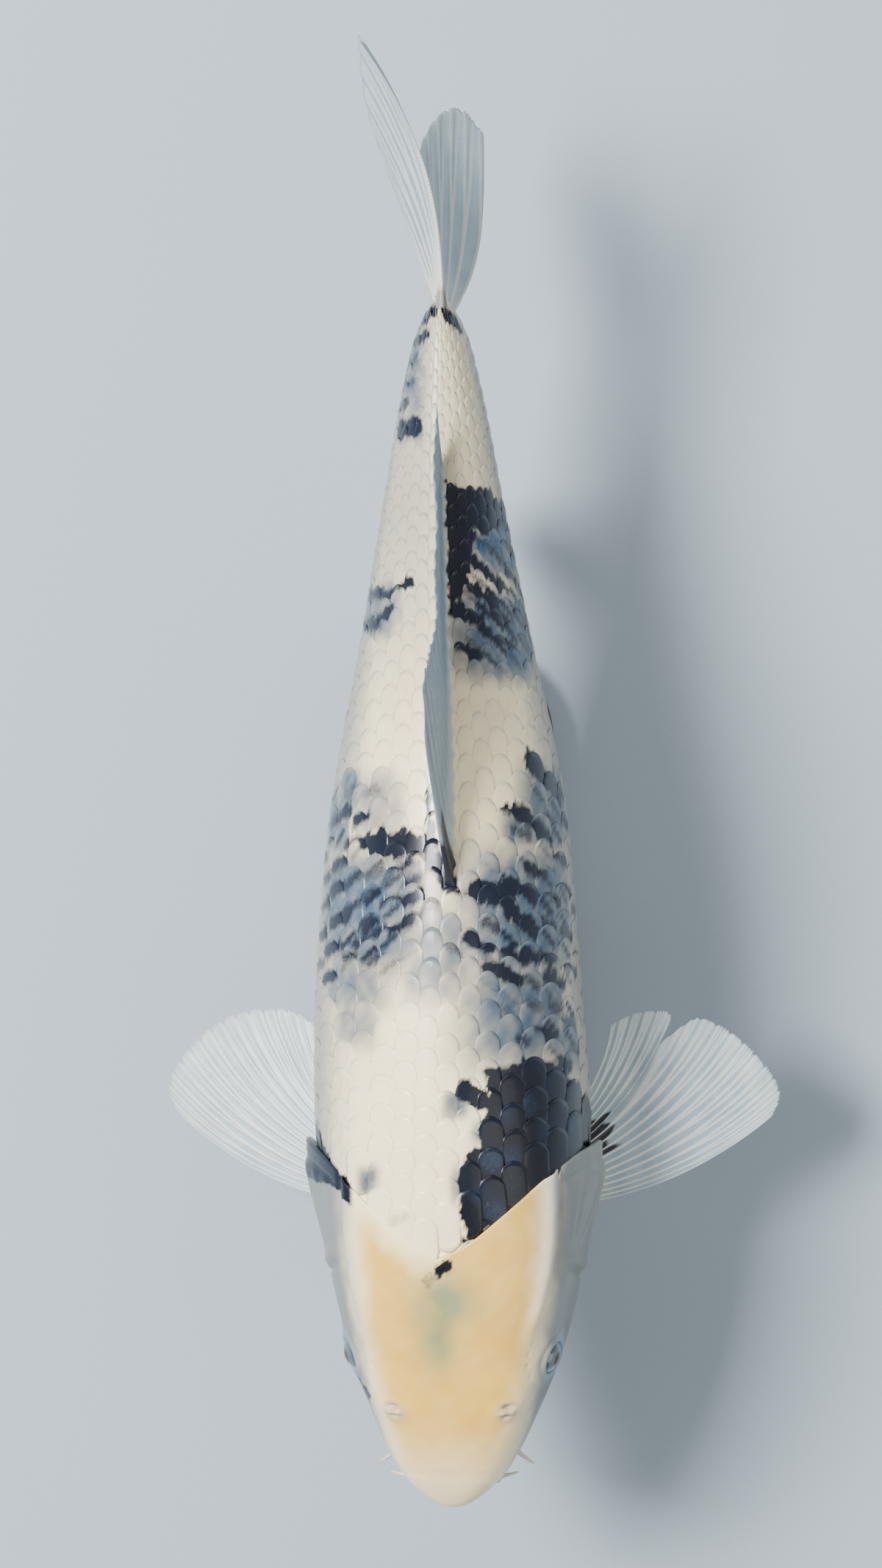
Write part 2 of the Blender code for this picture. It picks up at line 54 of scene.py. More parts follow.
# ---- The body's form ----
# One body carries everything: a spindle of firm muscle, round in the snout, deepest before the back
# fin and pressed flat at the tail. A model maker turns it from templates like these sections.
# Each is, in mm: place, half width, height of the back over the axis, depth of the belly under it,
# height of the widest point, and how square the back and the belly are.
SECTIONS = (
    (0, 0, 0, 0, 0.0, 0.02, 0.00),
    (6, 12.3, 10.0, 10.5, -0.5, 0.03, 0.00),
    (12, 17.9, 15.5, 16.0, -1.5, 0.04, 0.00),
    (20, 22.9, 21.0, 20.5, -2.5, 0.05, 0.01),
    (30, 27.2, 27.0, 24.5, -4.0, 0.06, 0.01),
    (41, 31.5, 32.0, 28.0, -4.5, 0.06, 0.02),
    (52, 35.0, 36.5, 31.5, -5.0, 0.05, 0.02),
    (74, 41.3, 44.5, 38.0, -5.0, 0.04, 0.02),
    (100, 45.8, 52.5, 45.0, -4.0, 0.02, 0.02),
    (124, 47.3, 57.3, 49.5, -3.0, 0.00, 0.02),
    (150, 47.0, 60.3, 53.0, -3.0, -0.01, 0.02),
    (188, 44.9, 61.0, 55.5, -2.0, -0.02, 0.02),
    (214, 43.0, 59.3, 55.3, -1.5, -0.02, 0.02),
    (240, 40.2, 55.5, 53.3, -1.0, -0.02, 0.01),
    (264, 36.0, 50.5, 49.8, -1.0, -0.02, 0.00),
    (289, 30.8, 44.3, 44.6, -0.5, -0.02, 0.00),
    (324, 24.2, 35.5, 35.8, 0.0, -0.01, 0.00),
    (349, 19.6, 30.0, 30.2, 0.0, 0.00, 0.00),
    (374, 15.2, 26.0, 26.5, 0.0, 0.00, 0.00),
    (390, 11.8, 24.5, 25.0, 0.0, 0.00, 0.00),
    (403, 7.8, 25.0, 25.5, 0.0, 0.00, 0.00),
    (410, 4.2, 26.0, 26.5, 0.0, 0.00, 0.00),
)
SNOUT_Y, AXIS_Z, BODY_END = -185 * MM, 125 * MM, 410 * MM
# The gill covers stand out from the body from here on, and by this share of its width.
GILL_START, GILL_LENGTH, GILL_SWELL = 68 * MM, 52 * MM, 0.14


def spline(knots, values):
    """A smooth curve through the values at the knots, as a function."""
    x, y = np.asarray(knots, float), np.asarray(values, float)
    step = np.diff(x)
    slope = np.diff(y) / step
    system, right = np.eye(len(x)), np.zeros(len(x))
    for i in range(1, len(x) - 1):
        system[i, i - 1 : i + 2] = step[i - 1], 2 * (step[i - 1] + step[i]), step[i]
        right[i] = 6 * (slope[i] - slope[i - 1])
    bend = np.linalg.solve(system, right)

    def at(where):
        t = np.clip(np.asarray(where, float), x[0], x[-1])
        i = np.clip(np.searchsorted(x, t, side="right") - 1, 0, len(x) - 2)
        h, a, b = step[i], x[i + 1] - t, t - x[i]
        curved = (a**3 * bend[i] + b**3 * bend[i + 1]) / (6 * h)
        return curved + (y[i] / h - bend[i] * h / 6) * a + (y[i + 1] / h - bend[i + 1] * h / 6) * b

    return at


ROOTS = [math.sqrt(row[0] * MM) for row in SECTIONS]
half_width, back_height, belly_depth, widest_height = (
    spline(ROOTS, [row[i] * MM for row in SECTIONS]) for i in range(1, 5)
)
back_square, belly_square = (spline(ROOTS, [row[i] for row in SECTIONS]) for i in (5, 6))
# The swimming fish bends a little to either side, in metres, and rolls a little, in radians.
sway = spline((0, 0.11, 0.17, 0.26, 0.32, 0.41), (0.0014, 0.002, 0, -0.0003, -0.0015, -0.0026))
lean = spline((0, 0.10, 0.21, 0.30, 0.41), (-0.06, -0.06, 0.015, 0.0, -0.02))


def signed(angle):
    return (np.asarray(angle) + math.pi) % (2 * math.pi) - math.pi


def girth(angle):
    """Share of the half girth, 0 on the back and 1 on the belly."""
    return np.abs(signed(angle)) / math.pi


def surface(place, angle, grow=0.0, head=False):
    """Points of the body's surface, or grown out from it. The angle turns from the back down the
    left side."""
    place, angle = np.broadcast_arrays(np.asarray(place, float), np.asarray(angle, float))
    root = np.sqrt(np.clip(place, 0, None))
    middle = widest_height(root)
    up, side = np.cos(angle), np.sin(angle)
    square = belly_square(root) + (back_square(root) - belly_square(root)) * (1 + up) / 2
    height = np.where(up > 0, back_height(root) - middle, belly_depth(root) + middle) + grow
    x = (half_width(root) + grow) * (side + square * np.sin(3 * angle)) / (1 - square)
    z = middle + height * (up - square * np.cos(3 * angle)) / (1 - square)
    if head:
        share = np.clip((girth(angle) - 0.24) / 0.68, 0, 1)
        growth = np.clip((place - GILL_START) / GILL_LENGTH, 0, 1.08) ** 2
        x = x * (1 + GILL_SWELL * growth * np.sin(math.pi * share) ** 2)
    roll = lean(place)
    return np.stack(
        [
            x * np.cos(roll) + z * np.sin(roll) + sway(place),
            SNOUT_Y + place - grow * np.clip(1 - place / (30 * MM), 0, 1),
            z * np.cos(roll) - x * np.sin(roll) + AXIS_Z,
        ],
        axis=-1,
    )


def unit(vectors):
    return vectors / np.linalg.norm(vectors, axis=-1, keepdims=True)


def outward(place, angle, head=False):
    """The direction straight out of the surface."""
    step, turn = 0.2 * MM, 0.01
    along = surface(place + step, angle, 0, head) - surface(place - step, angle, 0, head)
    around = surface(place, angle + turn, 0, head) - surface(place, angle - turn, 0, head)
    return unit(np.cross(around, along))


ARC_PLACES, ARC_SHARES = np.linspace(0.5 * MM, 414 * MM, 260), np.linspace(0, 1, 121)
rings = surface(ARC_PLACES[:, None], ARC_SHARES * math.pi)
lengths = np.linalg.norm(np.diff(rings, axis=1), axis=-1)
ARCS = np.concatenate([np.zeros((len(rings), 1)), np.cumsum(lengths, axis=1)], axis=1)


def arc(place, angle):
    """Distance round the body from the middle of the back, positive on the left side."""
    last_row, last_column = len(ARC_PLACES) - 1, len(ARC_SHARES) - 1
    r = np.clip((place - ARC_PLACES[0]) / np.ptp(ARC_PLACES) * last_row, 0, last_row - 0.001)
    c = np.clip(girth(angle) * last_column, 0, last_column - 0.001)
    i, j = r.astype(int), c.astype(int)
    r, c = r - i, c - j
    near = ARCS[i, j] * (1 - c) + ARCS[i, j + 1] * c
    far = ARCS[i + 1, j] * (1 - c) + ARCS[i + 1, j + 1] * c
    return np.sign(signed(angle)) * (near * (1 - r) + far * r)


# Where the bare head ends, from the nape over the gill cover's rear edge to the throat: the share
# of the half girth and the place in mm.
HEAD_EDGE = (
    (0.0, 90.0), (0.06, 94.6), (0.125, 102.2), (0.19, 109.6), (0.25, 115.6), (0.31, 119.6),
    (0.375, 122.4), (0.45, 123.8), (0.53, 123.0), (0.66, 113.5), (0.78, 99.5), (0.9, 86.5),
    (1.0, 79.0),
)
edge_from_nape = spline([share for share, mm in HEAD_EDGE], [mm * MM for share, mm in HEAD_EDGE])


def head_edge(angle):
    """Where the head ends. Its point at the nape lies a little to the fish's right."""
    return edge_from_nape(girth(angle + 0.035 * (1 + np.cos(angle))))


# ---- The koi's markings ----
# White skin with black pigment that lies deep in it, so each black scale has a blue-grey veil where
# the white covers it. The same blue-grey is also laid over the flanks, the rear and the head's
# sides as painted shade and a painted blue reflection. The head is tinted with yellow. The pigment
# is sprayed over skin and scales.
# Black fields as outlines, and strokes from one point to another, all as (arc, place) in mm.
BLACK_FIELDS = (
    (
        (13, 154), (22, 154.6), (29, 157.7), (35.5, 157), (43, 155.5), (50, 152.5), (58, 147),
        (67, 143), (80, 138), (96, 133), (104, 126), (98, 120), (80, 121), (66, 124.5), (51, 122),
        (40, 118), (34.4, 115), (29, 110), (24.4, 105), (16.7, 99.5), (10, 95.5), (4.9, 95),
        (4.4, 98.3), (7.8, 100.5), (4.4, 106), (4.9, 110.6), (3.3, 116), (5.6, 121.7), (6.7, 127),
        (12.2, 129.4), (10.7, 135), (13.3, 139.4), (14.4, 144), (13.3, 150.5),
    ),
    (
        (1, 348), (8, 346), (14, 347), (21, 346), (27, 342), (34, 344), (44, 341), (46, 335),
        (36, 332), (27, 334), (18, 331), (11, 332), (10, 322), (8, 314), (5, 307.5), (1, 307),
    ),
)
# Each stroke: arc and place of its two ends, its half width and how black it is.
BLACK_STROKES = (
    (-36, 228, -27, 227, 3.0, 1.0), (-27, 227, -17, 227.3, 3.9, 1.0),
    (-17, 227.3, -8, 227, 3.2, 1.0), (-28, 229, -26.5, 233, 1.4, 1.0),
    (-18, 229, -17, 232, 1.3, 1.0), (-7.5, 244, -6.5, 227, 1.0, 0.9),
    (-6, 223, -1, 213.5, 2.8, 1.0), (0.5, 212, 5, 212, 0.9, 0.8), (10, 212.5, 20, 210.5, 3.9, 1.0),
    (21, 214.5, 34, 210, 2.2, 0.9), (21, 206, 34, 198.5, 2.4, 0.95), (34, 256, 42, 251, 4.0, 0.9),
    (42, 251, 57, 242, 3.2, 0.9), (20, 239, 31, 236.5, 2.5, 0.75), (30, 235, 45, 228, 2.2, 0.85),
    (5, 147.5, 12, 143.5, 3.0, 0.85), (-49, 301, -31, 301, 2.6, 0.7),
    (-31, 302, -22, 306, 1.8, 0.8), (-44, 311.5, -26, 311, 2.2, 0.7),
    (-25, 311, -13, 314.3, 1.5, 0.85), (-22, 366.5, -10, 367.3, 3.2, 0.85),
    (-26, 375, -17, 376, 2.0, 0.6), (-25, 382, -13, 383, 1.8, 0.55), (-26, 390, -14, 390, 2.0, 0.6),
    (-22, 397, -6, 398, 2.0, 0.7), (-14, 404, -4, 406, 2.6, 0.8), (3, 405, 12, 401, 2.6, 0.85),
    (11, 330, 27, 322, 1.6, 0.8), (10, 322, 24, 313, 1.8, 0.85), (9, 313, 20, 306, 2.0, 0.9),
    (3, 305, 12, 301.5, 2.4, 0.9), (0, 88.3, -2.5, 86.2, 1.9, 0.8), (-5, 84.6, -6.5, 83, 2.0, 0.38),
    (-34, 40.5, -44, 44.5, 1.9, 0.9), (-72, 120, -78, 109, 2.4, 0.9),
)
# Single black scales: arc, place, length and how black. Each dips forward as it runs outward.
BLACK_SCALES = (
    (-45, 246, 13, 0.4), (-37, 236, 9, 0.8), (-32, 245, 7, 0.4), (-55, 236, 20, 0.75),
    (-53, 220, 13, 0.75), (-30, 218, 8, 0.5), (-18, 220, 8, 0.7), (-14, 216, 7, 0.7),
    (-33, 210, 9, 0.6), (-23, 209, 8, 0.7), (-13, 210, 8, 0.9), (-53, 212, 15, 1.0),
    (-42, 206, 8, 0.6), (-50, 202, 15, 1.0), (-34, 201, 8, 0.7), (-27, 199, 8, 0.7),
    (-18, 201, 10, 0.9), (-37, 195, 9, 0.7), (-41, 190, 9, 0.7), (-28, 190, 8, 0.6),
    (-55, 192, 16, 1.0), (-57, 182, 16, 0.8), (-66, 206, 10, 0.7), (-68, 196, 12, 0.8),
    (-64, 228, 14, 0.7), (-44, 228, 10, 0.7), (-40, 216, 8, 0.6), (-24, 215, 7, 0.5),
    (-8, 206, 6, 0.5), (-67, 215, 10, 0.7), (-70, 186, 12, 0.6), (-72, 222, 12, 0.6),
    (20, 185, 17, 1.0), (10, 195, 10, 1.0), (1, 193, 5, 0.5), (25, 191, 11, 0.8), (34, 190, 9, 0.7),
    (41, 190, 10, 0.85), (47, 182, 15, 0.8), (35, 218, 12, 0.85), (46, 209, 12, 0.85),
    (43, 201, 10, 0.75), (15, 200, 7, 0.6), (20, 174, 6, 0.35), (28, 163, 6, 0.6),
    (39, 165, 10, 1.0), (51, 154, 9, 1.0), (47, 173, 10, 0.6), (33, 174, 7, 0.5),
    (57, 168, 10, 0.6), (58, 197, 13, 0.75), (61, 185, 14, 0.75), (59, 212, 13, 0.75),
    (52, 222, 14, 0.75), (62, 234, 14, 0.7), (27, 231, 9, 0.55), (32, 182, 8, 0.45),
    (62, 158, 9, 0.6), (70, 204, 12, 0.6), (72, 190, 12, 0.6), (46, 236, 10, 0.6), (8, 291, 9, 0.9),
    (17, 297, 8, 0.8), (26, 294, 9, 0.9), (24, 303, 9, 0.8), (34, 306, 10, 0.75),
    (34, 317, 10, 0.75), (37, 326, 16, 0.8), (44, 312, 13, 0.6), (44, 302, 13, 0.6),
    (42, 294, 12, 0.5), (-29, 117, 6, 0.35), (-16, 104, 5, 0.3), (-38, 24, 5, 0.4),
)
# Where the black lies deeper: arc, place, reach in both ways and how strong the blue-grey veil is.
VEILS = (
    (-40, 205, 34, 21, 0.7), (-42, 181, 20, 9, 0.56), (-38, 168, 12, 8, 0.42),
    (-48, 245, 10, 8, 0.68), (-60, 235, 16, 12, 0.7), (34, 205, 32, 22, 0.72),
    (30, 172, 26, 18, 0.66), (48, 240, 20, 16, 0.68), (27, 232, 9, 6, 0.6), (55, 160, 14, 12, 0.6),
    (-4, 192, 12, 16, 0.5), (3, 142, 4, 4, 0.6), (4, 116, 3, 6, 0.4), (11, 133, 3, 4, 0.4),
    (-29, 117, 5, 4, 0.5), (-36, 306, 20, 11, 0.6), (-30, 240, 13, 12, 0.4),
    (28, 297, 27, 16, 0.76), (30, 330, 24, 14, 0.75), (16, 327, 8, 4, 0.7), (-16, 388, 12, 22, 0.6),
    (-16, 367, 11, 6, 0.6), (-26, 375, 8, 10, 0.5), (22, 386, 16, 16, 0.15),
)
# Where every scale has a short black dash of its own: arc, place and reach in both ways.
NETS = (
    (-42, 205, 30, 21), (-52, 236, 14, 12), (40, 200, 30, 24), (52, 236, 16, 14), (56, 166, 18, 12),
    (28, 303, 22, 18),
)
# Scales in the black fields with slate blue centres: arc, place, width and how much paler they are.
SLATE_CENTRES = (
    (15, 124, 3.4, 0.4), (11, 113, 3.2, 0.3), (16.7, 108, 3.2, 0.35), (23, 125, 3.0, 0.35),
    (21, 139, 2.6, 0.3), (31, 142, 3.2, 0.35), (38, 133, 4.0, 0.35), (40, 149, 2.8, 0.3),
    (50, 134, 6, 0.28), (60, 132, 7, 0.3), (76, 130, 8, 0.3), (50, 143, 3.5, 0.35),
    (15, 327, 3.2, 0.5), (24, 327, 3.4, 0.5), (34, 338, 3.2, 0.4),
)


def bump(distance, width):
    """1 at a line or a point, and less to either side."""
    return np.exp(-((distance / width) ** 2))


def oval(a, s, a0, s0, reach_a, reach_s):
    """1 in an oval field, with a soft edge."""
    return np.exp(-(((a - a0) / reach_a) ** 4) - ((s - s0) / reach_s) ** 4)


def ramp(value, low, high):
    """0 up to the low value, 1 from the high one, and smooth between them."""
    t = np.clip((value - low) / (high - low), 0, 1)
    return t * t * (3 - 2 * t)


def band(value, rise, fall):
    """1 between a rising and a falling edge, each given as the two ends of a ramp."""
    return ramp(value, *rise) * (1 - ramp(value, *fall))


def wander(x, y):
    """A smooth uneven value about -1 to 1 that changes over a few mm, for edges and tints."""
    return (
        np.sin(1.1 * x + 1.9 * np.sin(0.53 * y)) * np.sin(0.9 * y + 1.6 * np.sin(0.61 * x + 1.3))
        + 0.6 * np.sin(2.7 * x + 1.1 * np.sin(1.9 * y + 0.7)) * np.sin(2.3 * y + 2.2)
    ) / 1.5


def to_segment(a, s, a0, s0, a1, s1):
    """Distance to a stroke from one point to another."""
    da, ds = a1 - a0, s1 - s0
    t = np.clip(((a - a0) * da + (s - s0) * ds) / (da * da + ds * ds + 1e-9), 0, 1)
    return np.hypot(a - a0 - t * da, s - s0 - t * ds)


def to_dash(a, s, a0, s0, half, dip):
    """Distance to a dash on a scale, which dips forward as it runs outward from the back."""
    out = math.copysign(half, a0)
    return to_segment(a, s, a0 - out, s0 + dip, a0 + out, s0 - dip)


def in_field(a, s, outline):
    """Distance to a field's outline, negative inside it."""
    inside = np.zeros(a.shape, bool)
    nearest = np.full(a.shape, 1e3)
    for (a0, s0), (a1, s1) in zip(outline, outline[1:] + outline[:1]):
        nearest = np.minimum(nearest, to_segment(a, s, a0, s0, a1, s1))
        if s0 != s1:
            inside ^= ((s0 > s) != (s1 > s)) & (a < (a1 - a0) * (s - s0) / (s1 - s0) + a0)
    return np.where(inside, -nearest, nearest)


def markings(place, angle, on_head):
    """Paints, each 0 to 1: black, blue-grey veil and painted shade, yellow, olive and rose."""
    s, a = place / MM, arc(place, angle) / MM
    ragged = 1.1 * wander(a * 0.9, s * 0.9)
    black = np.zeros(s.shape)
    if not on_head:  # the fields stop at the nape, and only strokes and spots run on
        for outline in BLACK_FIELDS:
            black = np.maximum(black, ramp(-in_field(a, s, outline) + ragged, -0.8, 0.9))
    for a0, s0, a1, s1, half, strength in BLACK_STROKES:
        level = ramp(half - to_segment(a, s, a0, s0, a1, s1) + ragged, -0.9, 0.9)
        black = np.maximum(black, strength * level)
    for a0, s0, long, strength in BLACK_SCALES:
        away = to_dash(a, s, a0, s0, 0.42 * long, 0.42 * long * (0.52 - 0.005 * abs(a0)))
        black = np.maximum(black, strength * ramp(1.6 - away + 0.6 * ragged, -1.1, 0.9))
    veil_and_shade = np.zeros(s.shape)
    for a0, s0, reach_a, reach_s, strength in VEILS:
        near = oval(a, s, a0, s0, reach_a, reach_s)
        veil_and_shade = np.maximum(veil_and_shade, strength * near * (0.85 + 0.25 * wander(a * 0.4, s * 0.4)))
    veil_and_shade = 1 - (1 - np.clip(veil_and_shade, 0, 1)) ** 1.6
    for a0, s0, centre, paler in SLATE_CENTRES:
        near = ramp(centre + 0.8 - np.hypot(a - a0, s - s0) + 0.6 * ragged, -1.5, 2.0)
        black = black * (1 - paler * near)
        veil_and_shade = np.maximum(veil_and_shade, near * (not on_head))
    share = girth(angle)
    low = ramp(share, 0.55, 0.75)  # the belly is plain white
    rear = (head_edge(angle) - place) / MM
    # A black hem lies along the right gill cover's rear edge, on the cover and on the shoulder.
    hem = band(share, (0.22, 0.25), (0.52, 0.60)) * (a < 0)
    hem_width = 4.4 + 4.6 * ramp(share, 0.28, 0.42)
    black = np.maximum(black, hem * ramp(hem_width - np.abs(rear - 1.3) + 0.5 * ragged, -0.6, 1.0))
    if on_head:
        uneven = wander(a * 0.22, s * 0.2)
        crown = np.interp(s, (8, 25, 35, 60, 85, 110), (13, 19, 22, 27, 31, 33))
        aside = np.abs(a) + 2 * uneven
        yellow = (1 - ramp(aside, crown - 6, crown + 8)) * (0.25 + 0.75 * ramp(s, 6, 36))
        fading = (1 - ramp(rear + 2 * uneven, -1, 13)) * ramp(-a, -3, 6)
        yellow = yellow * (1 - 0.75 * fading) * (0.96 + 0.05 * uneven)
        olive = bump(a, 12) * bump(s - 76, 10) + 0.8 * bump(a + 4, 7) * bump(s - 60, 10)
        olive = 0.68 * np.clip(olive * (0.9 + 0.35 * wander(a * 0.2, s * 0.18)), 0, 1)
        # The head's sides get painted shade with a painted blue reflection: blue-grey from the
        # crown's edge down, weaker at the snout and fading out towards the throat, with a trace at
        # the snout's tip.
        cheek = ramp(aside, crown, crown + 17) * (0.4 + 0.6 * ramp(s + 2 * uneven, 12, 46))
        cheek = cheek * (1 - ramp(share + 0.03 * uneven, 0.42, 0.80))
        veil_and_shade = np.clip(0.61 * cheek + 0.04 * (1 - ramp(s, 2, 12)) + 0.4 * veil_and_shade, 0, 1)
        rose = 0.40 * bump(a + 21, 8) * bump(s - 63, 11) + 0.3 * bump(a - 25, 7) * bump(s - 80, 9)
        rose = rose + 0.30 * bump(s - 20, 9) * bump(a, 20)
    else:
        olive = np.zeros(s.shape)
        high = 1 - ramp(np.abs(a), 24, 52)
        yellow = 0.04 * bump(a, 9) + 0.06 * high * (1 + 0.7 * wander(a * 0.25, s * 0.2))
        rose = 0.02 + (0.05 + 0.07 * wander(a * 0.3 + 2, s * 0.22)) * high
        rose = rose + 0.14 * bump(a + 36, 16) * bump(s - 165, 26)
        # Partly the skin's own grey, partly painted shade with a painted blue reflection: the
        # flanks turn blue-grey below the back, and the rear body too, more on the fish's right
        # side.
        veil_and_shade = np.maximum(veil_and_shade, 0.46 * ramp(share + 0.025 * ragged, 0.20, 0.41) * (1 - low))
        rear_shade = (0.37 - 0.13 * ramp(a, -5, 5)) * ramp(s + 6 * ragged, 225, 340)
        veil_and_shade = np.maximum(veil_and_shade, rear_shade * (1 - low))
    return {
        "black": black * (1 - 0.9 * low * ramp(s, 138, 148)),
        "veil_and_shade": 1 - (1 - np.clip(veil_and_shade, 0, 1)) ** 2,  # even a thin veil hides the white
        "yellow": np.clip(yellow, 0, 1),
        "olive": olive,
        "rose": np.clip(rose, 0, 1),
    }


# ---- Skin ----
# The fish's one skin runs from the lips to the root of the tail fin: thick, bare and slimy on the
# head, thin under the scales. It is cast in resin in one piece, with lips, nostrils, eyelids and
# gill covers, and the four feelers grow from it.
COAT_DEPTH = 1.0 * MM  # the skin lies this far under the scales' outer face
EYE_PLACE, EYE_SHARES = 54 * MM, {1: 0.358, -1: 0.38}  # on the left side, 1, and on the right, -1
NOSTRIL_PLACE, NOSTRIL_SHARE = 37 * MM, 0.178
MOUTH_CORNER = 17 * MM
# The eyelid's height over the plain form at distances from the eye's middle, in mm.
LID_PROFILE = (
    (0, 4.7, 5.2, 5.6, 6.3, 7.3, 8.3, 10, 14),
    (-3.4, -2.9, -0.2, 1.0, 1.25, 1.0, 0.5, 0.35, 0),
)
PORES = 14
# Arcs of the bony ridge over the gill cover, and places of the groove before it.
gill_ridge = spline((50, 60, 67, 80, 95, 120), (25, 27, 29.5, 34.5, 38, 40))
cheek_groove = spline((0.30, 0.45, 0.60, 0.72, 0.84), (87, 81, 74, 65, 53))


def site(place, share, side):
    """A spot on the head: its point and the directions out, back and round."""
    angle = side * math.pi * share
    point, out = surface(place, angle, 0, True), outward(place, angle, True)
    back = np.array((0, 1.0, 0))
    back = unit(back - out * (back @ out))
    return point, out, back, np.cross(out, back)


def from_site(points, spot):
    """How far points lie from a spot, in mm: back, round and out."""
    point, out, back, around = spot
    away = (points - point) / MM
    return away @ back, away @ around, away @ out


def cover_standoff(angle):
    """How far the gill cover's rear edge stands out from the body, in mm."""
    edge = head_edge(angle)
    return np.linalg.norm(surface(edge, angle, 0, True) - surface(edge, angle), axis=-1) / MM


def mouth_height(place):
    """Height of the line where the lips meet, which slopes down to the mouth's corners."""
    return AXIS_Z - (8 + 5 * place / MOUTH_CORNER) * MM


def head_relief(place, angle, points):
    """How far the head's skin stands out from its plain form, in mm."""
    s, share = place / MM, girth(angle)
    a = np.abs(arc(place, angle)) / MM
    half_girth = np.interp(place, ARC_PLACES, ARCS[:, -1]) / MM
    lift = 0.06 * wander(a * 0.3, s * 0.33) + 0.02 * wander(a * 1.3, s * 1.2 + 4)
    lift += 1.1 * bump(share - 0.53, 0.12) * bump(s - 56, 20)  # full cheeks
    # Lips round a closed mouth that slopes down to its corners, with a crease over and under them.
    above = (points[..., 2] - mouth_height(place)) / MM
    lips = 2.0 * bump(above - 2.2, 1.6) + 1.8 * bump(above + 2.3, 1.6) - 3.0 * bump(above, 0.6)
    lips -= 1.0 * bump(above - 5.4, 1.1) + 0.8 * bump(above + 5.3, 1.0)
    lift += (1 - ramp(s, 14.5, 21)) * lips
    # The upper jaw slides out of a fold that runs from the mouth's corner up over the snout.
    fold = ramp(above, 6, 9) * (1 - ramp(share, 0.30, 0.42))
    fold += band(share, (0.35, 0.5), (0.66, 0.74))
    fold *= 0.12 + 0.5 * ramp(share, 0.35, 0.5)
    lift -= fold * bump(s - 13.5 - 10 * ramp(share, 0.3, 0.7), 1.6)
    # The chin has a crease across and one along each side.
    crease = 0.4 * bump(half_girth - a - 9, 1.2) * band(s, (20, 26), (38, 44))
    lift -= ramp(share, 0.6, 0.75) * (0.5 * bump(s - 43 + 6 * (1 - share), 1.3) + crease)
    # Eyelids hug the eyeball, under a low brow.
    for side in (1, -1):
        back, around, out = from_site(points, site(EYE_PLACE, EYE_SHARES[side], side))
        r = np.hypot(back, around) + 20 * (out < -9)  # the far side of the head is left alone
        up = -side * around / np.maximum(r, 0.01)
        lift += np.interp(r, *LID_PROFILE)
        lift += 0.9 * bump(r - 8.2, 2.4) * np.clip(up, 0, 1)
        lift -= 0.35 * bump(r - 8.9, 0.8) * np.clip(-up + 0.4, 0, 1)
        # Each nostril is a small hole in front and a wide one behind, parted by an upright flap.
        back, around, out = from_site(points, site(NOSTRIL_PLACE, NOSTRIL_SHARE, side))
        r = np.hypot(back, around * 0.9) + 20 * (out < -9)
        lift += 0.55 * bump(r - 2.6, 2.2) - 1.1 * bump(back + 1.7, 0.75) * bump(around, 1.0)
        lift -= 1.5 * bump(back - 1.9, 1.0) * bump(around, 1.9)
        flap = bump(back - 0.2 + 0.08 * around**2, 0.8) * np.exp(-((around / 2.5) ** 4))
        lift += 1.5 * flap * (r < 8)
    # A bony ridge over the gill cover, and a groove before it down the cheek.
    over_ridge, behind = a - gill_ridge(s), s - cheek_groove(share)
    lift += 1.1 * bump(over_ridge, 2.9) * ramp(s, 54, 74)
    lift -= 0.9 * bump(over_ridge - 4.4, 1.7) * ramp(s, 72, 86)
    span = band(share, (0.29, 0.36), (0.78, 0.86))
    lift -= span * (1.2 * bump(behind, 1.3) - 0.8 * bump(behind - 3.8, 2.6))
    lift -= 0.7 * bump(share - 0.60 - (s - 76) * 0.0022, 0.012) * band(s, (78, 83), (108, 114))
    # The cover's bone fans out in low ribs and ends in a soft hem.
    rear = (head_edge(angle) - place) / MM
    cover = band(share, (0.27, 0.33), (0.88, 0.95))
    fan = np.arctan2((share - 0.33) * half_girth, s - 82)
    lift += cover * 0.17 * np.sin(26 * fan) * ramp(s, 88, 100) * ramp(rear, 4, 8) * (share < 0.62)
    lift -= cover * (0.8 * bump(rear - 4.6, 1.2) + 0.25 * (1 - ramp(rear, 1, 4)))
    lift -= 0.45 * cover_standoff(angle) * (1 - ramp(rear, 0, 13)) ** 2  # it bends in to the body
    ribs = band(share, (0.83, 0.86), (0.965, 0.985)) * ramp(s, 50, 60)
    lift += ribs * 0.45 * np.sin((share - 0.83) / 0.15 * 6 * math.pi)
    lift -= 1.1 * bump(half_girth - a, 1.8) * ramp(s, 46, 56)
    # The skull: a shallow furrow between two low swellings, and pores in a line round the eye.
    lift += 0.8 * bump(a - 17, 8) * bump(s - 68, 14) - 0.6 * bump(a, 5) * bump(s - 64, 22)
    lift += 0.5 * bump(a - 24, 6) * bump(s - 46, 9)
    for k in range(PORES):
        turn = math.pi * (0.2 + 0.115 * k)
        pore_s, pore_a = 54 + 11.5 * math.cos(turn), 40 + 12.5 * math.sin(turn)
        lift -= 0.35 * bump(np.hypot(s - pore_s, a - pore_a), 0.7)
    return lift


COLUMNS, HEAD_ROWS, TRUNK_ROWS = 320, 190, 96
t = np.arange(COLUMNS) / COLUMNS
around = 2 * math.pi * (t + 0.0175 * np.sin(4 * math.pi * t))  # closer together on the cheeks
edge = head_edge(around)

head_places = edge * (np.linspace(0, 1, HEAD_ROWS + 1)[1:, None] ** 1.5)
plain = surface(head_places, around, 0, True)
head_out = outward(head_places, around, True)
head_points = plain + head_out * head_relief(head_places, around, plain)[..., None] * MM

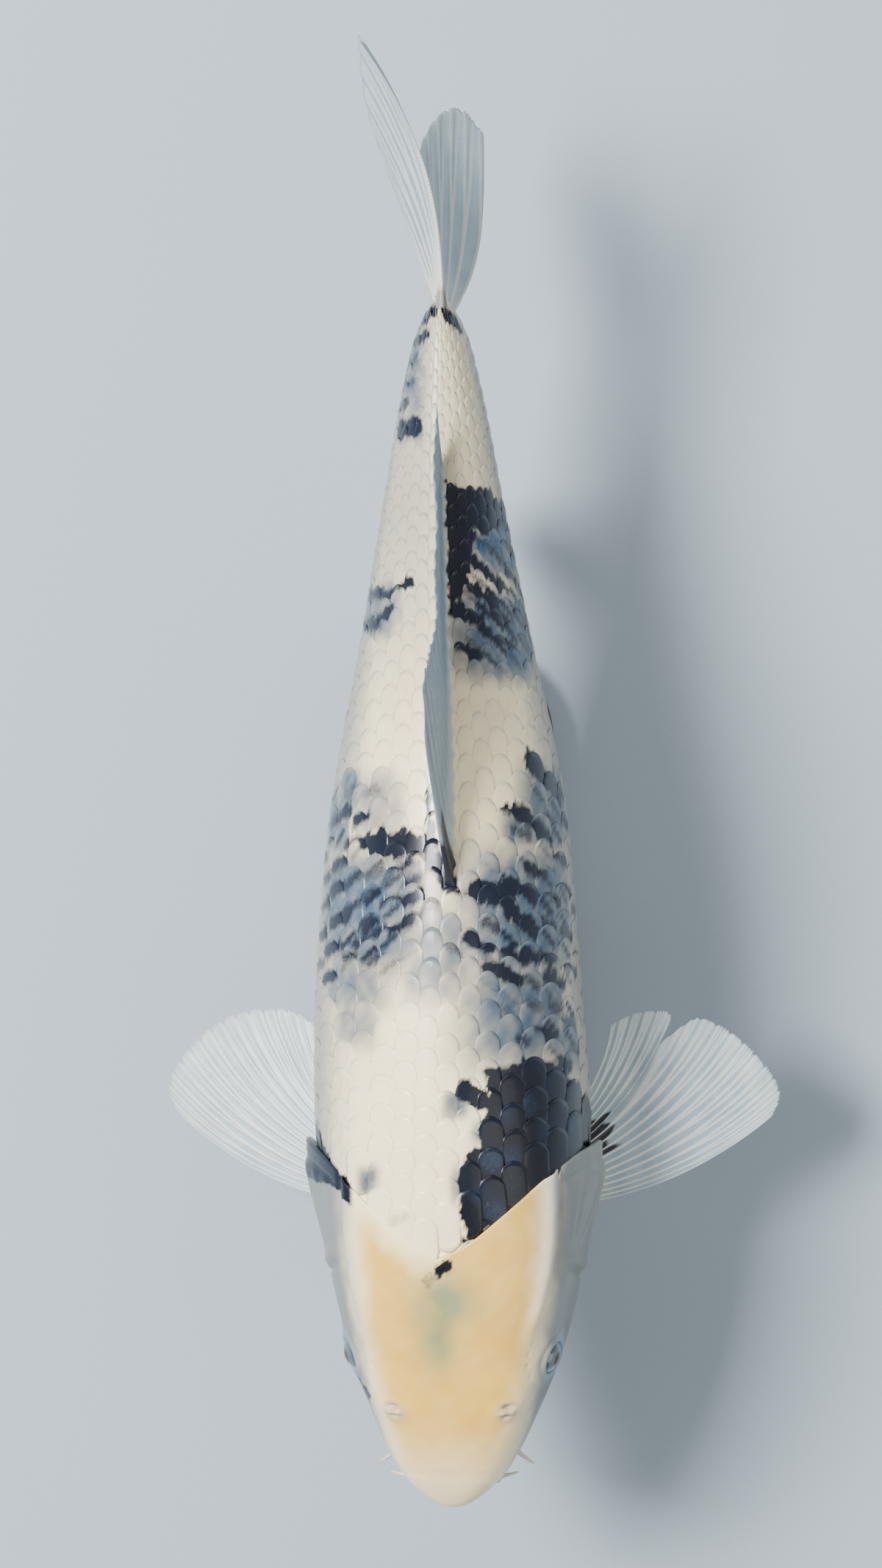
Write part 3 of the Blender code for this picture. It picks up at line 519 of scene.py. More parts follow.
# The gill cover's rear edge turns under, and the skin comes out again behind it under the scales.
standoff = cover_standoff(around)
loose = ramp(standoff, 0.3, 2.5)
hem = np.minimum(0.9, (standoff + 1) / 2.4)
tucked = (0.6 + 3.0 * loose) * MM
fold_points = []
for turn in np.linspace(0, math.pi, 7)[1:]:
    under = head_out[-1] * (hem * (math.cos(turn) - 1))[:, None]
    rearward = np.array((0, 1, 0)) * (hem * math.sin(turn))[:, None]
    fold_points.append(head_points[-1] + (under + rearward) * MM)
inner = fold_points[-1]
start = surface(edge - tucked, around, -COAT_DEPTH)
for t in (0.35, 0.7):
    fold_points.append(inner + (start - inner) * np.array((t**2, t, t**2)))
fold_places = [edge] * len(fold_points)

trunk_places = (edge - tucked) + (BODY_END - edge + tucked) * np.linspace(0, 1, TRUNK_ROWS)[:, None]
trunk_points = surface(trunk_places, around, -COAT_DEPTH)
end_points = []
for step, width in ((1.2, 0.75), (2.4, 0.45), (3.4, 0.12)):
    ring = trunk_points[-1].copy()
    ring[:, 0] = sway(BODY_END) + (ring[:, 0] - sway(BODY_END)) * width
    ring[:, 1] += step * MM
    end_points.append(ring)

points = np.concatenate([head_points, fold_points, trunk_points, end_points])
end_places = np.full((len(end_points), COLUMNS), BODY_END)
places = np.concatenate([head_places, fold_places, trunk_places, end_places])
rows = len(points)
on_head = np.arange(rows) < HEAD_ROWS + len(fold_points)
angles = np.broadcast_to(around, places.shape)
paint = markings(places, angles, False)
for name, tint in markings(places[on_head], angles[on_head], True).items():
    paint[name][on_head] = tint
# The lips, eyelids and nostrils have paints of their own.
plain_points = np.concatenate([plain, points[HEAD_ROWS:]])
# The crease where the lips meet is darkened reddish-brown: partly the lips' own tone, partly
# painted shade.
between_lips = bump((plain_points[..., 2] - mouth_height(places)) / MM, 0.8)
slit_tone_and_shade = between_lips * (1 - ramp(places / MM, 15, 20))
over_ridge = bump(np.abs(arc(places, angles)) / MM - gill_ridge(places / MM), 3.4)
pale = 0.36 * over_ridge * ramp(places / MM, 58, 84) * on_head[:, None]
for side in (1, -1):
    back, across, out = from_site(plain_points, site(EYE_PLACE, EYE_SHARES[side], side))
    away = np.hypot(back, across) + 12 * (out < -9) - 0.9 * wander(back * 0.3 + side, across * 0.3)
    pale += 0.85 * ramp(9.3 - away, -1.6, 2.4) * (0.62 - 0.38 * np.clip(side * across / 5, -1, 1))
    back, across, out = from_site(plain_points, site(NOSTRIL_PLACE, NOSTRIL_SHARE, side))
    r = np.hypot(back, across) + 12 * (out < -9)
    pale += 0.40 * (1 - ramp(r, 2.6, 5.4))
    # Each nostril's two pits are darkened the same way, as painted shade.
    slit_tone_and_shade += 0.25 * bump(back + 1.7, 0.7) * bump(across, 0.8)
    slit_tone_and_shade += 0.4 * bump(back - 1.9, 0.8) * bump(across, 1.4)
paint |= {"pale": np.clip(pale, 0, 1), "slit_tone_and_shade": np.clip(slit_tone_and_shade, 0, 1)}


def grid_faces(rows, columns, closed=False):
    """Faces of a grid of points, out of the side where columns x rows points."""
    c = np.arange(columns if closed else columns - 1)
    a = (np.arange(rows - 1)[:, None] * columns + c).ravel()
    b = (np.arange(rows - 1)[:, None] * columns + (c + 1) % columns).ravel()
    return np.stack([a, b, b + columns, a + columns], axis=1)


faces = grid_faces(rows, COLUMNS, closed=True).tolist()
count = rows * COLUMNS
faces += [(count, (i + 1) % COLUMNS, i) for i in range(COLUMNS)]  # the snout's tip
last = count - COLUMNS
for i in range(COLUMNS // 2):  # the end under the tail fin, closed from left to right
    left, right = (i, i + 1), ((COLUMNS - i - 1) % COLUMNS, (COLUMNS - i) % COLUMNS)
    corners = [last + left[0], last + left[1], last + right[0], last + right[1]]
    faces.append(tuple(dict.fromkeys(corners)))
tip = np.array((float(sway(0)), SNOUT_Y, AXIS_Z))
skin_points = np.concatenate([points.reshape(-1, 3), [tip]])
skin_paint = {name: np.append(value.ravel(), value.ravel()[0]) for name, value in paint.items()}
# Where each point lies on the flat sheet that its colours are kept on.
sheet_u = np.append(np.repeat(np.linspace(0.02, 0.98, rows), COLUMNS), 0.0)
sheet_v = np.append(np.tile(np.linspace(0.02, 0.98, COLUMNS), rows), 0.5)

# Feelers: a short pair on the upper lip and a long pair at the mouth's corners, on thickened roots.
# Each is, in mm: place, share of the half girth, reach out, back and down, and radius.
FEELERS = ((9.5, 0.60, 7.0, 1.0, 3.5, 0.95), (19.0, 0.70, 8.5, -8.0, 8.5, 1.2))
FEELER_STEPS, FEELER_SIDES = 20, 14
for place, at, out, back, down, radius in FEELERS:
    for side in (1, -1):
        root = surface(place * MM, side * math.pi * at, 0, True)
        steps = np.linspace(-0.16, 1, FEELER_STEPS)
        reach = [(side * out * k, back * k, -down * abs(k) * k) for k in steps]
        path = root + MM * np.array(reach)
        radii = radius * (1 - 0.70 * steps) + 1.3 * bump(steps + 0.05, 0.13)
        radii[-2:] *= (0.8, 0.3)
        ahead = unit(np.gradient(path, axis=0))
        aside = unit(np.cross(ahead, (0, 0, 1)))
        over = np.cross(ahead, aside)
        turn = np.linspace(0, 2 * math.pi, FEELER_SIDES, endpoint=False)[None, :, None]
        spoke = np.cos(turn) * aside[:, None] + np.sin(turn) * over[:, None]
        tube = (path[:, None] + spoke * (radii * MM)[:, None, None]).reshape(-1, 3)
        first = len(skin_points)
        skin_points = np.concatenate([skin_points, tube])
        faces += (grid_faces(FEELER_STEPS, FEELER_SIDES, closed=True)[:, ::-1] + first).tolist()
        cap = np.arange(FEELER_SIDES)
        faces += [tuple(first + cap), tuple(first + len(tube) - 1 - cap)]
        feeler = {"pale": 0.5, "rose": 0.35}
        for name, value in skin_paint.items():
            skin_paint[name] = np.append(value, np.full(len(tube), feeler.get(name, 0.0)))
        along, round_it = np.linspace(0, 1, FEELER_STEPS), np.linspace(0, 1, FEELER_SIDES)
        sheet_u = np.append(sheet_u, 0.99 + 0.009 * np.repeat(along, FEELER_SIDES))
        shelf = 0.1 + 0.1 * (side + place / 10)
        sheet_v = np.append(sheet_v, shelf + 0.05 * np.tile(round_it, FEELER_STEPS))


def linear(hex_colour):
    """A colour given as an sRGB hex value, as the linear values that Blender takes."""
    parts = (int(hex_colour[i : i + 2], 16) / 255 for i in (1, 3, 5))
    return (*(c / 12.92 if c <= 0.04045 else ((c + 0.055) / 1.055) ** 2.4 for c in parts), 1.0)


def add(tree, kind, *inputs, out=None, **settings):
    """Adds a node and returns one of its outputs, the first unless named.

    Inputs fill its sockets in order, and settings go to its properties or sockets by name. Another
    node's output is linked, and a hex colour is turned to linear.
    """
    node = tree.nodes.new("ShaderNode" + kind)
    for name in [name for name in settings if hasattr(node, name)]:
        setattr(node, name, settings.pop(name))
    sockets = [socket for socket in node.inputs if socket.enabled]
    by_name = {socket.name: socket for socket in reversed(sockets)}
    named = [(by_name[name.replace("_", " ")], value) for name, value in settings.items()]
    for socket, value in [*zip(sockets, inputs), *named]:
        if isinstance(value, bpy.types.NodeSocket):
            tree.links.new(value, socket)
        else:
            socket.default_value = linear(value) if isinstance(value, str) else value
    outputs = [socket for socket in node.outputs if socket.enabled and out in (None, socket.name)]
    return outputs[0] if outputs else None


def empty_material(name):
    """A material and its node tree, with no nodes yet."""
    made = bpy.data.materials.new(name)
    made.use_nodes = True
    made.node_tree.nodes.clear()
    return made, made.node_tree


def koi_skin(name, scaled):
    """Wet carp skin: pearly white over black and yellow pigment, under a coat of clear slime."""
    made, tree = empty_material(name)
    where = add(tree, "TexCoord", out="Object")
    black, veil_and_shade, yellow, olive, rose, pale, slit_tone_and_shade, rim = (
        add(tree, "Attribute", attribute_name=key, out="Fac")
        for key in ("black", "veil_and_shade", "yellow", "olive", "rose", "pale", "slit_tone_and_shade", "rim")
    )
    # Pigment cells cluster in flecks about 0.7 mm wide, and clouds of tint spread over 12 mm.
    flecks = add(tree, "TexNoise", where, Scale=1400, Detail=3, Roughness=0.6)
    clouds = add(tree, "TexNoise", where, Scale=85, Detail=4, Roughness=0.55)
    cloudy = add(tree, "MapRange", clouds, 0.35, 0.65)
    colour = add(tree, "Mix", cloudy, "#faebbd", "#f4e3bb", data_type="RGBA")
    golden = add(tree, "Mix", cloudy, "#d8ad49", "#d0a23f", data_type="RGBA")
    fleck = add(tree, "MapRange", flecks, 0.42, 0.62)
    ink = add(tree, "Mix", fleck, "#04060a", "#0a101c", data_type="RGBA")
    ink = add(tree, "Mix", veil_and_shade, ink, "#0a1222", data_type="RGBA")
    # The black's edge is grainy, because it breaks up into flecks.
    spread = add(tree, "Math", flecks, 0.5, -0.25, operation="MULTIPLY_ADD")
    grainy = add(tree, "MapRange", add(tree, "Math", black, spread, operation="ADD"), 0.12, 0.7)
    held = add(tree, "Math", grainy, add(tree, "MapRange", black, 0.02, 0.25), operation="MULTIPLY")
    layers = [(rose, "#e9b795"), (yellow, golden), (olive, "#2f6f68")]
    if scaled:  # each scale's free edge is clearer than its thick middle
        layers.append((add(tree, "MapRange", rim, 0.0, 1.0, 0.0, 0.45), "#d9cfb4"))
    # Blue-grey: deep black seen through the white, and on the sides painted shade with a painted
    # blue reflection. Reddish-brown: the lips' crease and the pits, partly their own tone, partly
    # painted shade.
    layers += [(veil_and_shade, "#29455b"), (pale, "#7590a3"), (held, ink), (slit_tone_and_shade, "#7a5347")]
    for amount, pigment in layers:
        colour = add(tree, "Mix", amount, colour, pigment, data_type="RGBA")
    # Slime pools unevenly, so the gloss wanders, and the skin has fine pores 0.5 mm apart.
    gloss = add(tree, "MapRange", clouds, 0.3, 0.7, 0.30, 0.42)
    grain = add(tree, "TexNoise", where, Scale=2000, Detail=2)
    dents = add(tree, "Bump", Height=grain, Strength=0.12, Distance=0.0002)
    shader = add(
        tree, "BsdfPrincipled", Base_Color=colour, Roughness=gloss, Normal=dents, IOR=1.37,
        Subsurface_Weight=0.08, Subsurface_Radius=(1.0, 0.7, 0.5), Subsurface_Scale=0.0015,
        Coat_Weight=0.2, Coat_Roughness=0.12, Coat_IOR=1.34,
    )
    add(tree, "OutputMaterial", shader)
    return made


def piece(name, points, faces, finish, attributes=None, uv=None, smooth=None):
    """A mesh of the model that rides on the one body."""
    mesh = bpy.data.meshes.new(name)
    mesh.from_pydata(np.asarray(points).tolist(), [], faces)
    mesh.materials.append(finish)
    for key, values in (attributes or {}).items():
        held = mesh.attributes.new(key, "FLOAT", "POINT").data
        held.foreach_set("value", np.asarray(values, np.float32).ravel())
    if uv is not None:
        corners = np.zeros(len(mesh.loops), np.int32)
        mesh.loops.foreach_get("vertex_index", corners)
        flat = mesh.uv_layers.new(name="OFBake").data
        flat.foreach_set("uv", np.asarray(uv, np.float32)[corners].ravel())
    mesh.shade_smooth()
    if smooth:
        mesh.set_sharp_from_angle(angle=math.radians(smooth))
    made = bpy.data.objects.new(name, mesh)
    bpy.context.scene.collection.objects.link(made)
    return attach(made, "root")


bare_skin = koi_skin("cast_resin_koi_skin", scaled=False)
skin_sheet = np.stack([sheet_u, sheet_v], axis=1)
skin = piece("koi_skin", skin_points, faces, bare_skin, skin_paint, skin_sheet)
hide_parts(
    "head", "lower_jaw", "upper_lip", "lower_lip", "gill_cover_left", "gill_cover_right",
    "nostril_left", "nostril_right", "barbel_short_left", "barbel_short_right",
    "barbel_long_left", "barbel_long_right", "trunk_front", "trunk_rear", "tail_stalk",
)


# ---- Scales ----
# Round horny plates 0.25 mm thick that grow from pockets in the skin and lie like roof tiles, front
# edge under and rear edge free. The model's are cut from clear film, laid row by row and painted.
PER_SIDE = 16
SCALE_THICKNESS = 0.25 * MM
LAST_SCALE_END = 409 * MM
spacing = spline((60, 110, 200, 280, 340, 400, 420), (8.4, 9.3, 9.6, 8.8, 7.2, 5.8, 5.6))
stations = [58.0]
while stations[-1] < 415:
    stations.append(stations[-1] + float(spacing(stations[-1])))
stations = np.array(stations) * MM
chance = np.random.default_rng(7)  # the scales are laid by hand, so they vary a little


def row_share(k):
    """Share of the half girth of row k: rows lie closer on the back and belly."""
    t = k / PER_SIDE
    return t - 0.035 * np.sin(2 * math.pi * t)


def sheet_faces(rows, columns):
    """Faces of a thin closed sheet: an upper grid of points, a lower one and the edge between."""
    top, size = grid_faces(rows, columns), rows * columns
    edge = [(0, c) for c in range(columns)] + [(r, columns - 1) for r in range(1, rows)]
    edge += [(rows - 1, c) for c in reversed(range(columns - 1))]
    edge += [(r, 0) for r in reversed(range(1, rows - 1))]
    loop = np.array([r * columns + c for r, c in edge])
    ahead = np.roll(loop, -1)
    sides = np.stack([ahead, loop, loop + size, ahead + size], axis=1)
    return np.concatenate([top, top[:, ::-1] + size, sides])


def scale_rows(name, first, last):
    """All the scales of some rows, joined as one piece."""
    across, along = 11, 10
    v, u = np.meshgrid(np.linspace(-1, 1, across), np.linspace(0, 1, along))
    front, rear = 0.16 * v**2, 0.66 + 0.34 * np.sqrt(1 - 0.86 * v**2)
    back = front + u * (rear - front)  # how far back a point lies on its scale, 0 to 1
    rim = np.maximum(ramp(u, 0.80, 1.0), ramp(np.abs(v), 0.80, 1.0) * ramp(u, 0.3, 0.6))
    grids, paints, maps = [], {}, []
    for k in range(first, last + 1):
        at = float(row_share(abs(k)))
        angle = math.copysign(1, k) * math.pi * at
        pitch = math.pi * float(row_share(abs(k) + 0.5) - row_share(abs(k) - 0.5))
        side_line = abs(k) == PER_SIDE // 2
        for j in range(len(stations) - 3):
            station = j + 0.5 * (k % 2)
            root, far = np.interp((station, station + 1.9), range(len(stations)), stations)
            length = (far - root) * (1 + 0.03 * chance.normal())
            turn = angle + pitch * 0.03 * chance.normal()
            tilt = 0.05 * chance.normal()
            if root < head_edge(angle) - 0.45 * length or root + 0.9 * length > LAST_SCALE_END:
                continue
            place = root + length * back
            swing = pitch * 0.64 * v * (0.86 + 0.14 * np.sin(math.pi * back))
            swing = swing + pitch * tilt * (back - 0.5)
            lift = -COAT_DEPTH + (0.08 + 0.62 * back + 0.12 * (1 - v**2) * back) * MM
            # The scales of the side line have a ridge with a sense organ's pore in it.
            ridge = 0.22 * MM * bump(v, 0.22) * band(back, (0.45, 0.6), (0.8, 0.92)) * side_line
            out = outward(place, turn + swing)
            thick = SCALE_THICKNESS * (0.35 + 0.65 * (1 - rim))
            low = surface(place, turn + swing) + out * lift[..., None]
            grids.append(np.stack([low + out * (thick + ridge)[..., None], low]))
            # A scale takes most of its colour from its own middle, so markings break along scales.
            middle = root + 0.74 * length
            tints = markings(middle + 0.8 * (place - middle), turn + 0.8 * swing, False)
            a0, s0 = float(arc(middle, turn)) / MM, middle / MM
            netted = max(oval(a0, s0, *net) for net in NETS)
            if netted > 0.05:
                away = to_dash(arc(place, turn + swing) / MM, place / MM, a0, s0, 3.3, 2.3)
                dash = netted * (0.82 + 0.18 * float(wander(2.1 * k, 1.7 * j)))
                tints["black"] = np.maximum(tints["black"], dash * ramp(1.4 - away, -0.5, 0.8))
            tints["rim"] = rim * ramp(back, 0.4, 0.6)
            tints["pale"] = np.zeros(rim.shape)
            # The pore is a reddish-brown dark spot painted on the ridge: painted shade in a tone of
            # its own.
            tints["slit_tone_and_shade"] = 0.5 * bump(np.hypot(v * 1.2, (back - 0.80) * 4), 0.2) * side_line
            for key, value in tints.items():
                paints.setdefault(key, []).append(np.stack([value, value]))
            spot = (0.03 + 0.94 * root / (415 * MM), 0.5 + 0.47 * math.copysign(at, k))
            patch = np.stack([spot[0] + 0.003 * (back - 0.5), spot[1] + 0.0015 * v], axis=-1)
            maps.append(np.stack([patch, patch]))
    starts = 2 * along * across * np.arange(len(grids))
    faces = (sheet_faces(along, across) + starts[:, None, None]).reshape(-1, 4)
    made = piece(
        name, np.array(grids).reshape(-1, 3), faces.tolist(), scale_film,
        {key: np.array(value) for key, value in paints.items()}, np.array(maps).reshape(-1, 2),
    )
    return made


scale_film = koi_skin("painted_film_scales", scaled=True)
scale_rows("scales_back", -4, 4)
scale_rows("scales_left_flank", 5, 11)
scale_rows("scales_right_flank", -11, -5)
scale_rows("scales_left_belly", 12, 16)
scale_rows("scales_right_belly", -15, -12)


# ---- Eyes ----
# Glass taxidermy eyes: a clear dome over a black pupil and a blue-grey iris with a thin copper
# ring. Each is set into its lids from inside.
def eye_glass():
    made, tree = empty_material("blown_glass_eye")
    reach = add(tree, "Attribute", attribute_name="reach", out="Fac")
    turn = add(tree, "Attribute", attribute_name="turn", out="Fac")
    # Fine muscle threads run out over the iris, drawn about 0.3 mm apart.
    threads = add(tree, "TexNoise", turn, noise_dimensions="1D", Scale=60, Detail=3)
    threads = add(tree, "MapRange", threads, 0.35, 0.65)
    colour = add(tree, "Mix", threads, "#26343f", "#566871", data_type="RGBA")
    # From the iris in, in mm from the middle: the copper ring and the pupil.
    for start, end, inner in ((3.3, 3.55, "#7a4a2c"), (3.05, 3.25, "#030406")):
        beyond = add(tree, "MapRange", reach, start, end)
        colour = add(tree, "Mix", beyond, inner, colour, data_type="RGBA")
    white = add(tree, "MapRange", reach, 4.8, 5.7)
    colour = add(tree, "Mix", white, colour, "#141a22", data_type="RGBA")
    shader = add(
        tree, "BsdfPrincipled", colour, Roughness=0.18, IOR=1.45,
        Coat_Weight=1.0, Coat_Roughness=0.03, Coat_IOR=1.5,
    )
    add(tree, "OutputMaterial", shader)
    return made


EYE_RADIUS, EYE_SINK = 7.6 * MM, 4.6 * MM
CORNEA_BULGE = 0.35 * MM
EYE_RINGS, EYE_SIDES = 47, 64
glass = eye_glass()
for label, side in (("left", 1), ("right", -1)):
    point, out, back, around = site(EYE_PLACE, EYE_SHARES[side], side)
    centre = point - out * EYE_SINK
    polar = np.linspace(0, math.pi, EYE_RINGS + 2)[1:-1, None, None]
    spin = np.linspace(0, 2 * math.pi, EYE_SIDES, endpoint=False)[None, :, None]
    dome = EYE_RADIUS + CORNEA_BULGE * bump(polar, 0.45)
    spoke = np.cos(spin) * back + np.sin(spin) * around
    ball = (centre + dome * (np.cos(polar) * out + np.sin(polar) * spoke)).reshape(-1, 3)
    poles = [centre + out * (EYE_RADIUS + CORNEA_BULGE), centre - out * EYE_RADIUS]
    ball = np.concatenate([ball, poles])
    faces = grid_faces(EYE_RINGS, EYE_SIDES, closed=True).tolist()
    front, last = EYE_RINGS * EYE_SIDES, (EYE_RINGS - 1) * EYE_SIDES
    faces += [(front, (i + 1) % EYE_SIDES, i) for i in range(EYE_SIDES)]
    faces += [(front + 1, last + i, last + (i + 1) % EYE_SIDES) for i in range(EYE_SIDES)]
    depth = (ball - centre) @ out
    reach = np.linalg.norm(np.cross(ball - centre, out), axis=1) / MM + 9.0 * (depth < 0)
    angle = np.arctan2((ball - centre) @ around, (ball - centre) @ back)
    eye = piece(f"glass_eye_{label}", ball, faces, glass, {"reach": reach, "turn": np.abs(angle)})
    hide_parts(f"eye_{label}")


# ---- Fins ----
# A fin is two films of skin over a fan of bony rays. Each ray is a row of short joints that forks
# towards the edge. The model's fins are cast in clear resin, thin enough for light to pass.
def fin_resin():
    made, tree = empty_material("clear_cast_fin_resin")
    where = add(tree, "TexCoord", out="Object")
    ray, reach, black, grey, joints = (
        add(tree, "Attribute", attribute_name=key, out="Fac")
        for key in ("ray", "reach", "black", "grey", "joints")
    )
    clouds = add(tree, "MapRange", add(tree, "TexNoise", where, Scale=120, Detail=3), 0.3, 0.7)
    colour = add(tree, "Mix", clouds, "#8fa6b0", "#a8bac0", data_type="RGBA")
    # The rays are bone and fade to the edge, the root is fleshy, and smoke grows away from it.
    bone = add(tree, "MapRange", ray, 0.1, 0.8)
    fading = add(tree, "MapRange", reach, 0.3, 1.0, 0.9, 0.35)
    bony = add(tree, "Math", bone, fading, operation="MULTIPLY")
    fleshy = add(tree, "MapRange", reach, 0.0, 0.3, 0.5, 0.0)
    growing = add(tree, "MapRange", reach, 0.0, 0.3, 0.35, 1.0)
    smoky = add(tree, "Math", grey, growing, operation="MULTIPLY")
    inked = add(tree, "MapRange", black, 0.3, 0.6)
    layers = ((bony, "#e9e2d2"), (fleshy, "#efe6d0"), (smoky, "#5a7180"), (inked, "#101520"))
    for amount, tint in layers:
        colour = add(tree, "Mix", amount, colour, tint, data_type="RGBA")
    # The web lets more light through than the rays, and more near the edge than at the root.
    thin = add(tree, "MapRange", reach, 0.15, 1.0, 0.97, 0.70)
    solid = add(tree, "MapRange", ray, 0.0, 0.6, 0.0, 0.25)
    cover = add(tree, "Math", thin, solid, operation="ADD", use_clamp=True)
    # The rays' joints stand out as beads.
    waved = add(tree, "Math", joints, operation="SINE")
    beads = add(tree, "Math", waved, ray, operation="MULTIPLY")
    dents = add(tree, "Bump", Height=beads, Strength=0.35, Distance=0.00015)
    shader = add(
        tree, "BsdfPrincipled", Base_Color=colour, Alpha=cover, Normal=dents,
        Roughness=0.34, IOR=1.46, Subsurface_Weight=0.2, Subsurface_Radius=(1.0, 0.9, 0.8),
        Subsurface_Scale=0.002, Coat_Weight=0.15, Coat_Roughness=0.2,
    )
    add(tree, "OutputMaterial", shader)
    return made


resin_web = fin_resin()
# Lines of points for each bony ray, points along a line, where the rays fork and their joints.
PER_RAY, FIN_STEPS, FORK, JOINT_LENGTH = 9, 60, 0.45, 1.3 * MM


def fin_piece(
    name, node, rays, count, root_ridge, ripple=0.5, blacken=None, fan=(0.0, 1.0), grey=0.15
):
    """A closed sheet over dense lines rays[i, j]: count bony rays with web between them."""
    lines, steps = rays.shape[:2]
    phase = np.linspace(fan[0], fan[1], lines)[:, None] * (count - 1)
    t = np.linspace(0, 1, steps)[None, :]
    off = np.abs(phase - np.round(phase))  # how far a line is from the nearest ray, in ray spacings
    split, second = 0.21 * ramp(t, FORK, FORK + 0.35), 0.10 * ramp(t, FORK + 0.3, 1.0)
    outer, inner = np.abs(off - split - second), np.abs(off - np.maximum(split - second, 0))
    ray = bump(np.minimum(outer, inner), 0.17 - 0.09 * t)
    # The web is cut back a little between the rays at the free edge.
    index = t * (1 - 0.012 * (1 - ray[:, -1:]) * t**3) * (steps - 1)
    low = np.minimum(index.astype(int), steps - 2)
    row = np.arange(lines)[:, None]
    rays = rays[row, low] + (rays[row, low + 1] - rays[row, low]) * (index - low)[..., None]
    normal = unit(np.cross(np.gradient(rays, axis=1), np.gradient(rays, axis=0)))
    spread = np.linalg.norm(rays[:, -1] - rays[:, 0], axis=1).max()
    waves = ripple * t**1.6 * np.sin(phase * 1.15 + 2.2 * t)
    waves = waves + 0.25 * t * np.sin(phase * 2 * math.pi)
    rays = rays + normal * (waves * MM)[..., None]
    half = 0.5 * MM * (0.34 - 0.12 * t + (root_ridge * (1 - t) ** 1.3 + 0.28) * ray)
    half = half + 0.5 * MM * 1.2 * root_ridge * (1 - ramp(t, 0.0, 0.16))
    half = half * np.where(t > 0.97, 0.7, 1.0)
    front, back = rays + normal * half[..., None], rays - normal * half[..., None]
    every = np.ones(ray.shape)
    paints = {
        "ray": ray, "reach": t * every, "grey": grey * every,
        "black": (0 if blacken is None else blacken(phase / (count - 1), t, ray)) * every,
        "joints": t * every * spread / JOINT_LENGTH * 2 * math.pi,
    }
    made = piece(
        name, np.stack([front, back]).reshape(-1, 3), sheet_faces(lines, steps).tolist(), resin_web,
        {key: np.stack([value, value]) for key, value in paints.items()},
    )
    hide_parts(node)
    return made


def grown(root, ways, length):
    """A ray that grows from its root along each of its ways in turn."""
    return np.concatenate([[root], root + np.cumsum(ways, axis=0) * length / len(ways)])


def back_fin_rays(count, steps):
    """The back fin, half folded: its rays sweep back, and it leans to the fish's right."""
    length = spline((0, 0.05, 0.12, 0.25, 0.42, 0.65, 0.85, 1), (56, 69, 68, 53, 40, 32, 29, 25))
    tilt = math.radians(13)
    rays = []
    for share in np.linspace(0, 1, count):
        rise = np.radians(43 - 13 * share - 12 * np.arange(1, steps) / steps)
        up = np.sin(rise)
        ways = np.stack([-up * math.sin(tilt), np.cos(rise), up * math.cos(tilt)], axis=1)
        root = surface((212 + 137 * share) * MM, 0.0) - (0, 0, 2 * MM)
        rays.append(grown(root, ways, float(length(share)) * MM))
    return np.array(rays)


def vent_fin_rays(count, steps):
    """The fin under the tail stalk hangs down and back."""
    length = spline((0, 0.12, 0.3, 0.6, 1), (38, 54, 52, 40, 27))
    rays = []
    for share in np.linspace(0, 1, count):
        drop = np.radians(-58 + 30 * share + 12 * np.arange(1, steps) / steps)
        level = np.cos(drop)
        ways = np.stack([level * math.sin(-0.05), level * math.cos(-0.05), np.sin(drop)], axis=1)
        root = surface((306 + 28 * share) * MM, math.pi) + (0, 0, 2 * MM)
        rays.append(grown(root, ways, float(length(share)) * MM))
    return np.array(rays)


def belly_fin_rays(side, count, steps):
    """A belly fin trails back and a little outward."""
    length = spline((0, 0.15, 0.5, 1), (50, 54, 50, 36))
    first, last = np.array((side * 0.44, 0.68, -0.59)), np.array((side * 0.02, 0.95, -0.30))
    t = np.linspace(0, 1, steps)[:, None]
    rays = []
    for share in np.linspace(0, 1, count):
        root = surface((206 + 9 * share) * MM, side * math.pi * (0.885 + 0.05 * share))
        way = unit(first + (last - first) * share) + np.array((0, 0.25, 0.10)) * t
        rays.append(root + (0, 0, 2.5 * MM) + way * float(length(share)) * MM * t)
    return np.array(rays)


def breast_fin_rays(side, droop, notch, count, steps):
    """A breast fin spread from behind the gill cover. Its rays curve back as they run out."""
    shares = (0, 0.15, 0.3, 0.45, 0.6, 0.75, 0.9, 1)
    length = spline(shares, (92, 97, 94, 89, 81, 71, 61, 52))
    sweep = spline(shares, (20, 23, 29, 36, 43.5, 51, 57, 61))
    done = (np.arange(1, steps) - 0.5) / (steps - 1)
    dip = math.radians(droop) * (0.85 + 0.3 * done)
    rays = []
    for share in np.linspace(0, 1, count):
        root = surface((98.5 + 19 * share) * MM, side * math.pi * (0.785 - 0.02 * share))
        reach = float(length(share)) * MM * (1 - notch * math.exp(-(((share - 0.66) / 0.03) ** 2)))
        turn = np.radians(float(sweep(share)) + 38 * (done - 0.5))
        drop = -np.cos(turn) * np.sin(dip) - 0.08 * np.sin(turn)
        ways = np.stack([side * np.cos(turn) * np.cos(dip), np.sin(turn), drop], axis=1)
        rays.append(grown(root - np.array((side * 4 * MM, 0, -2 * MM)), ways, reach))
    return np.array(rays)


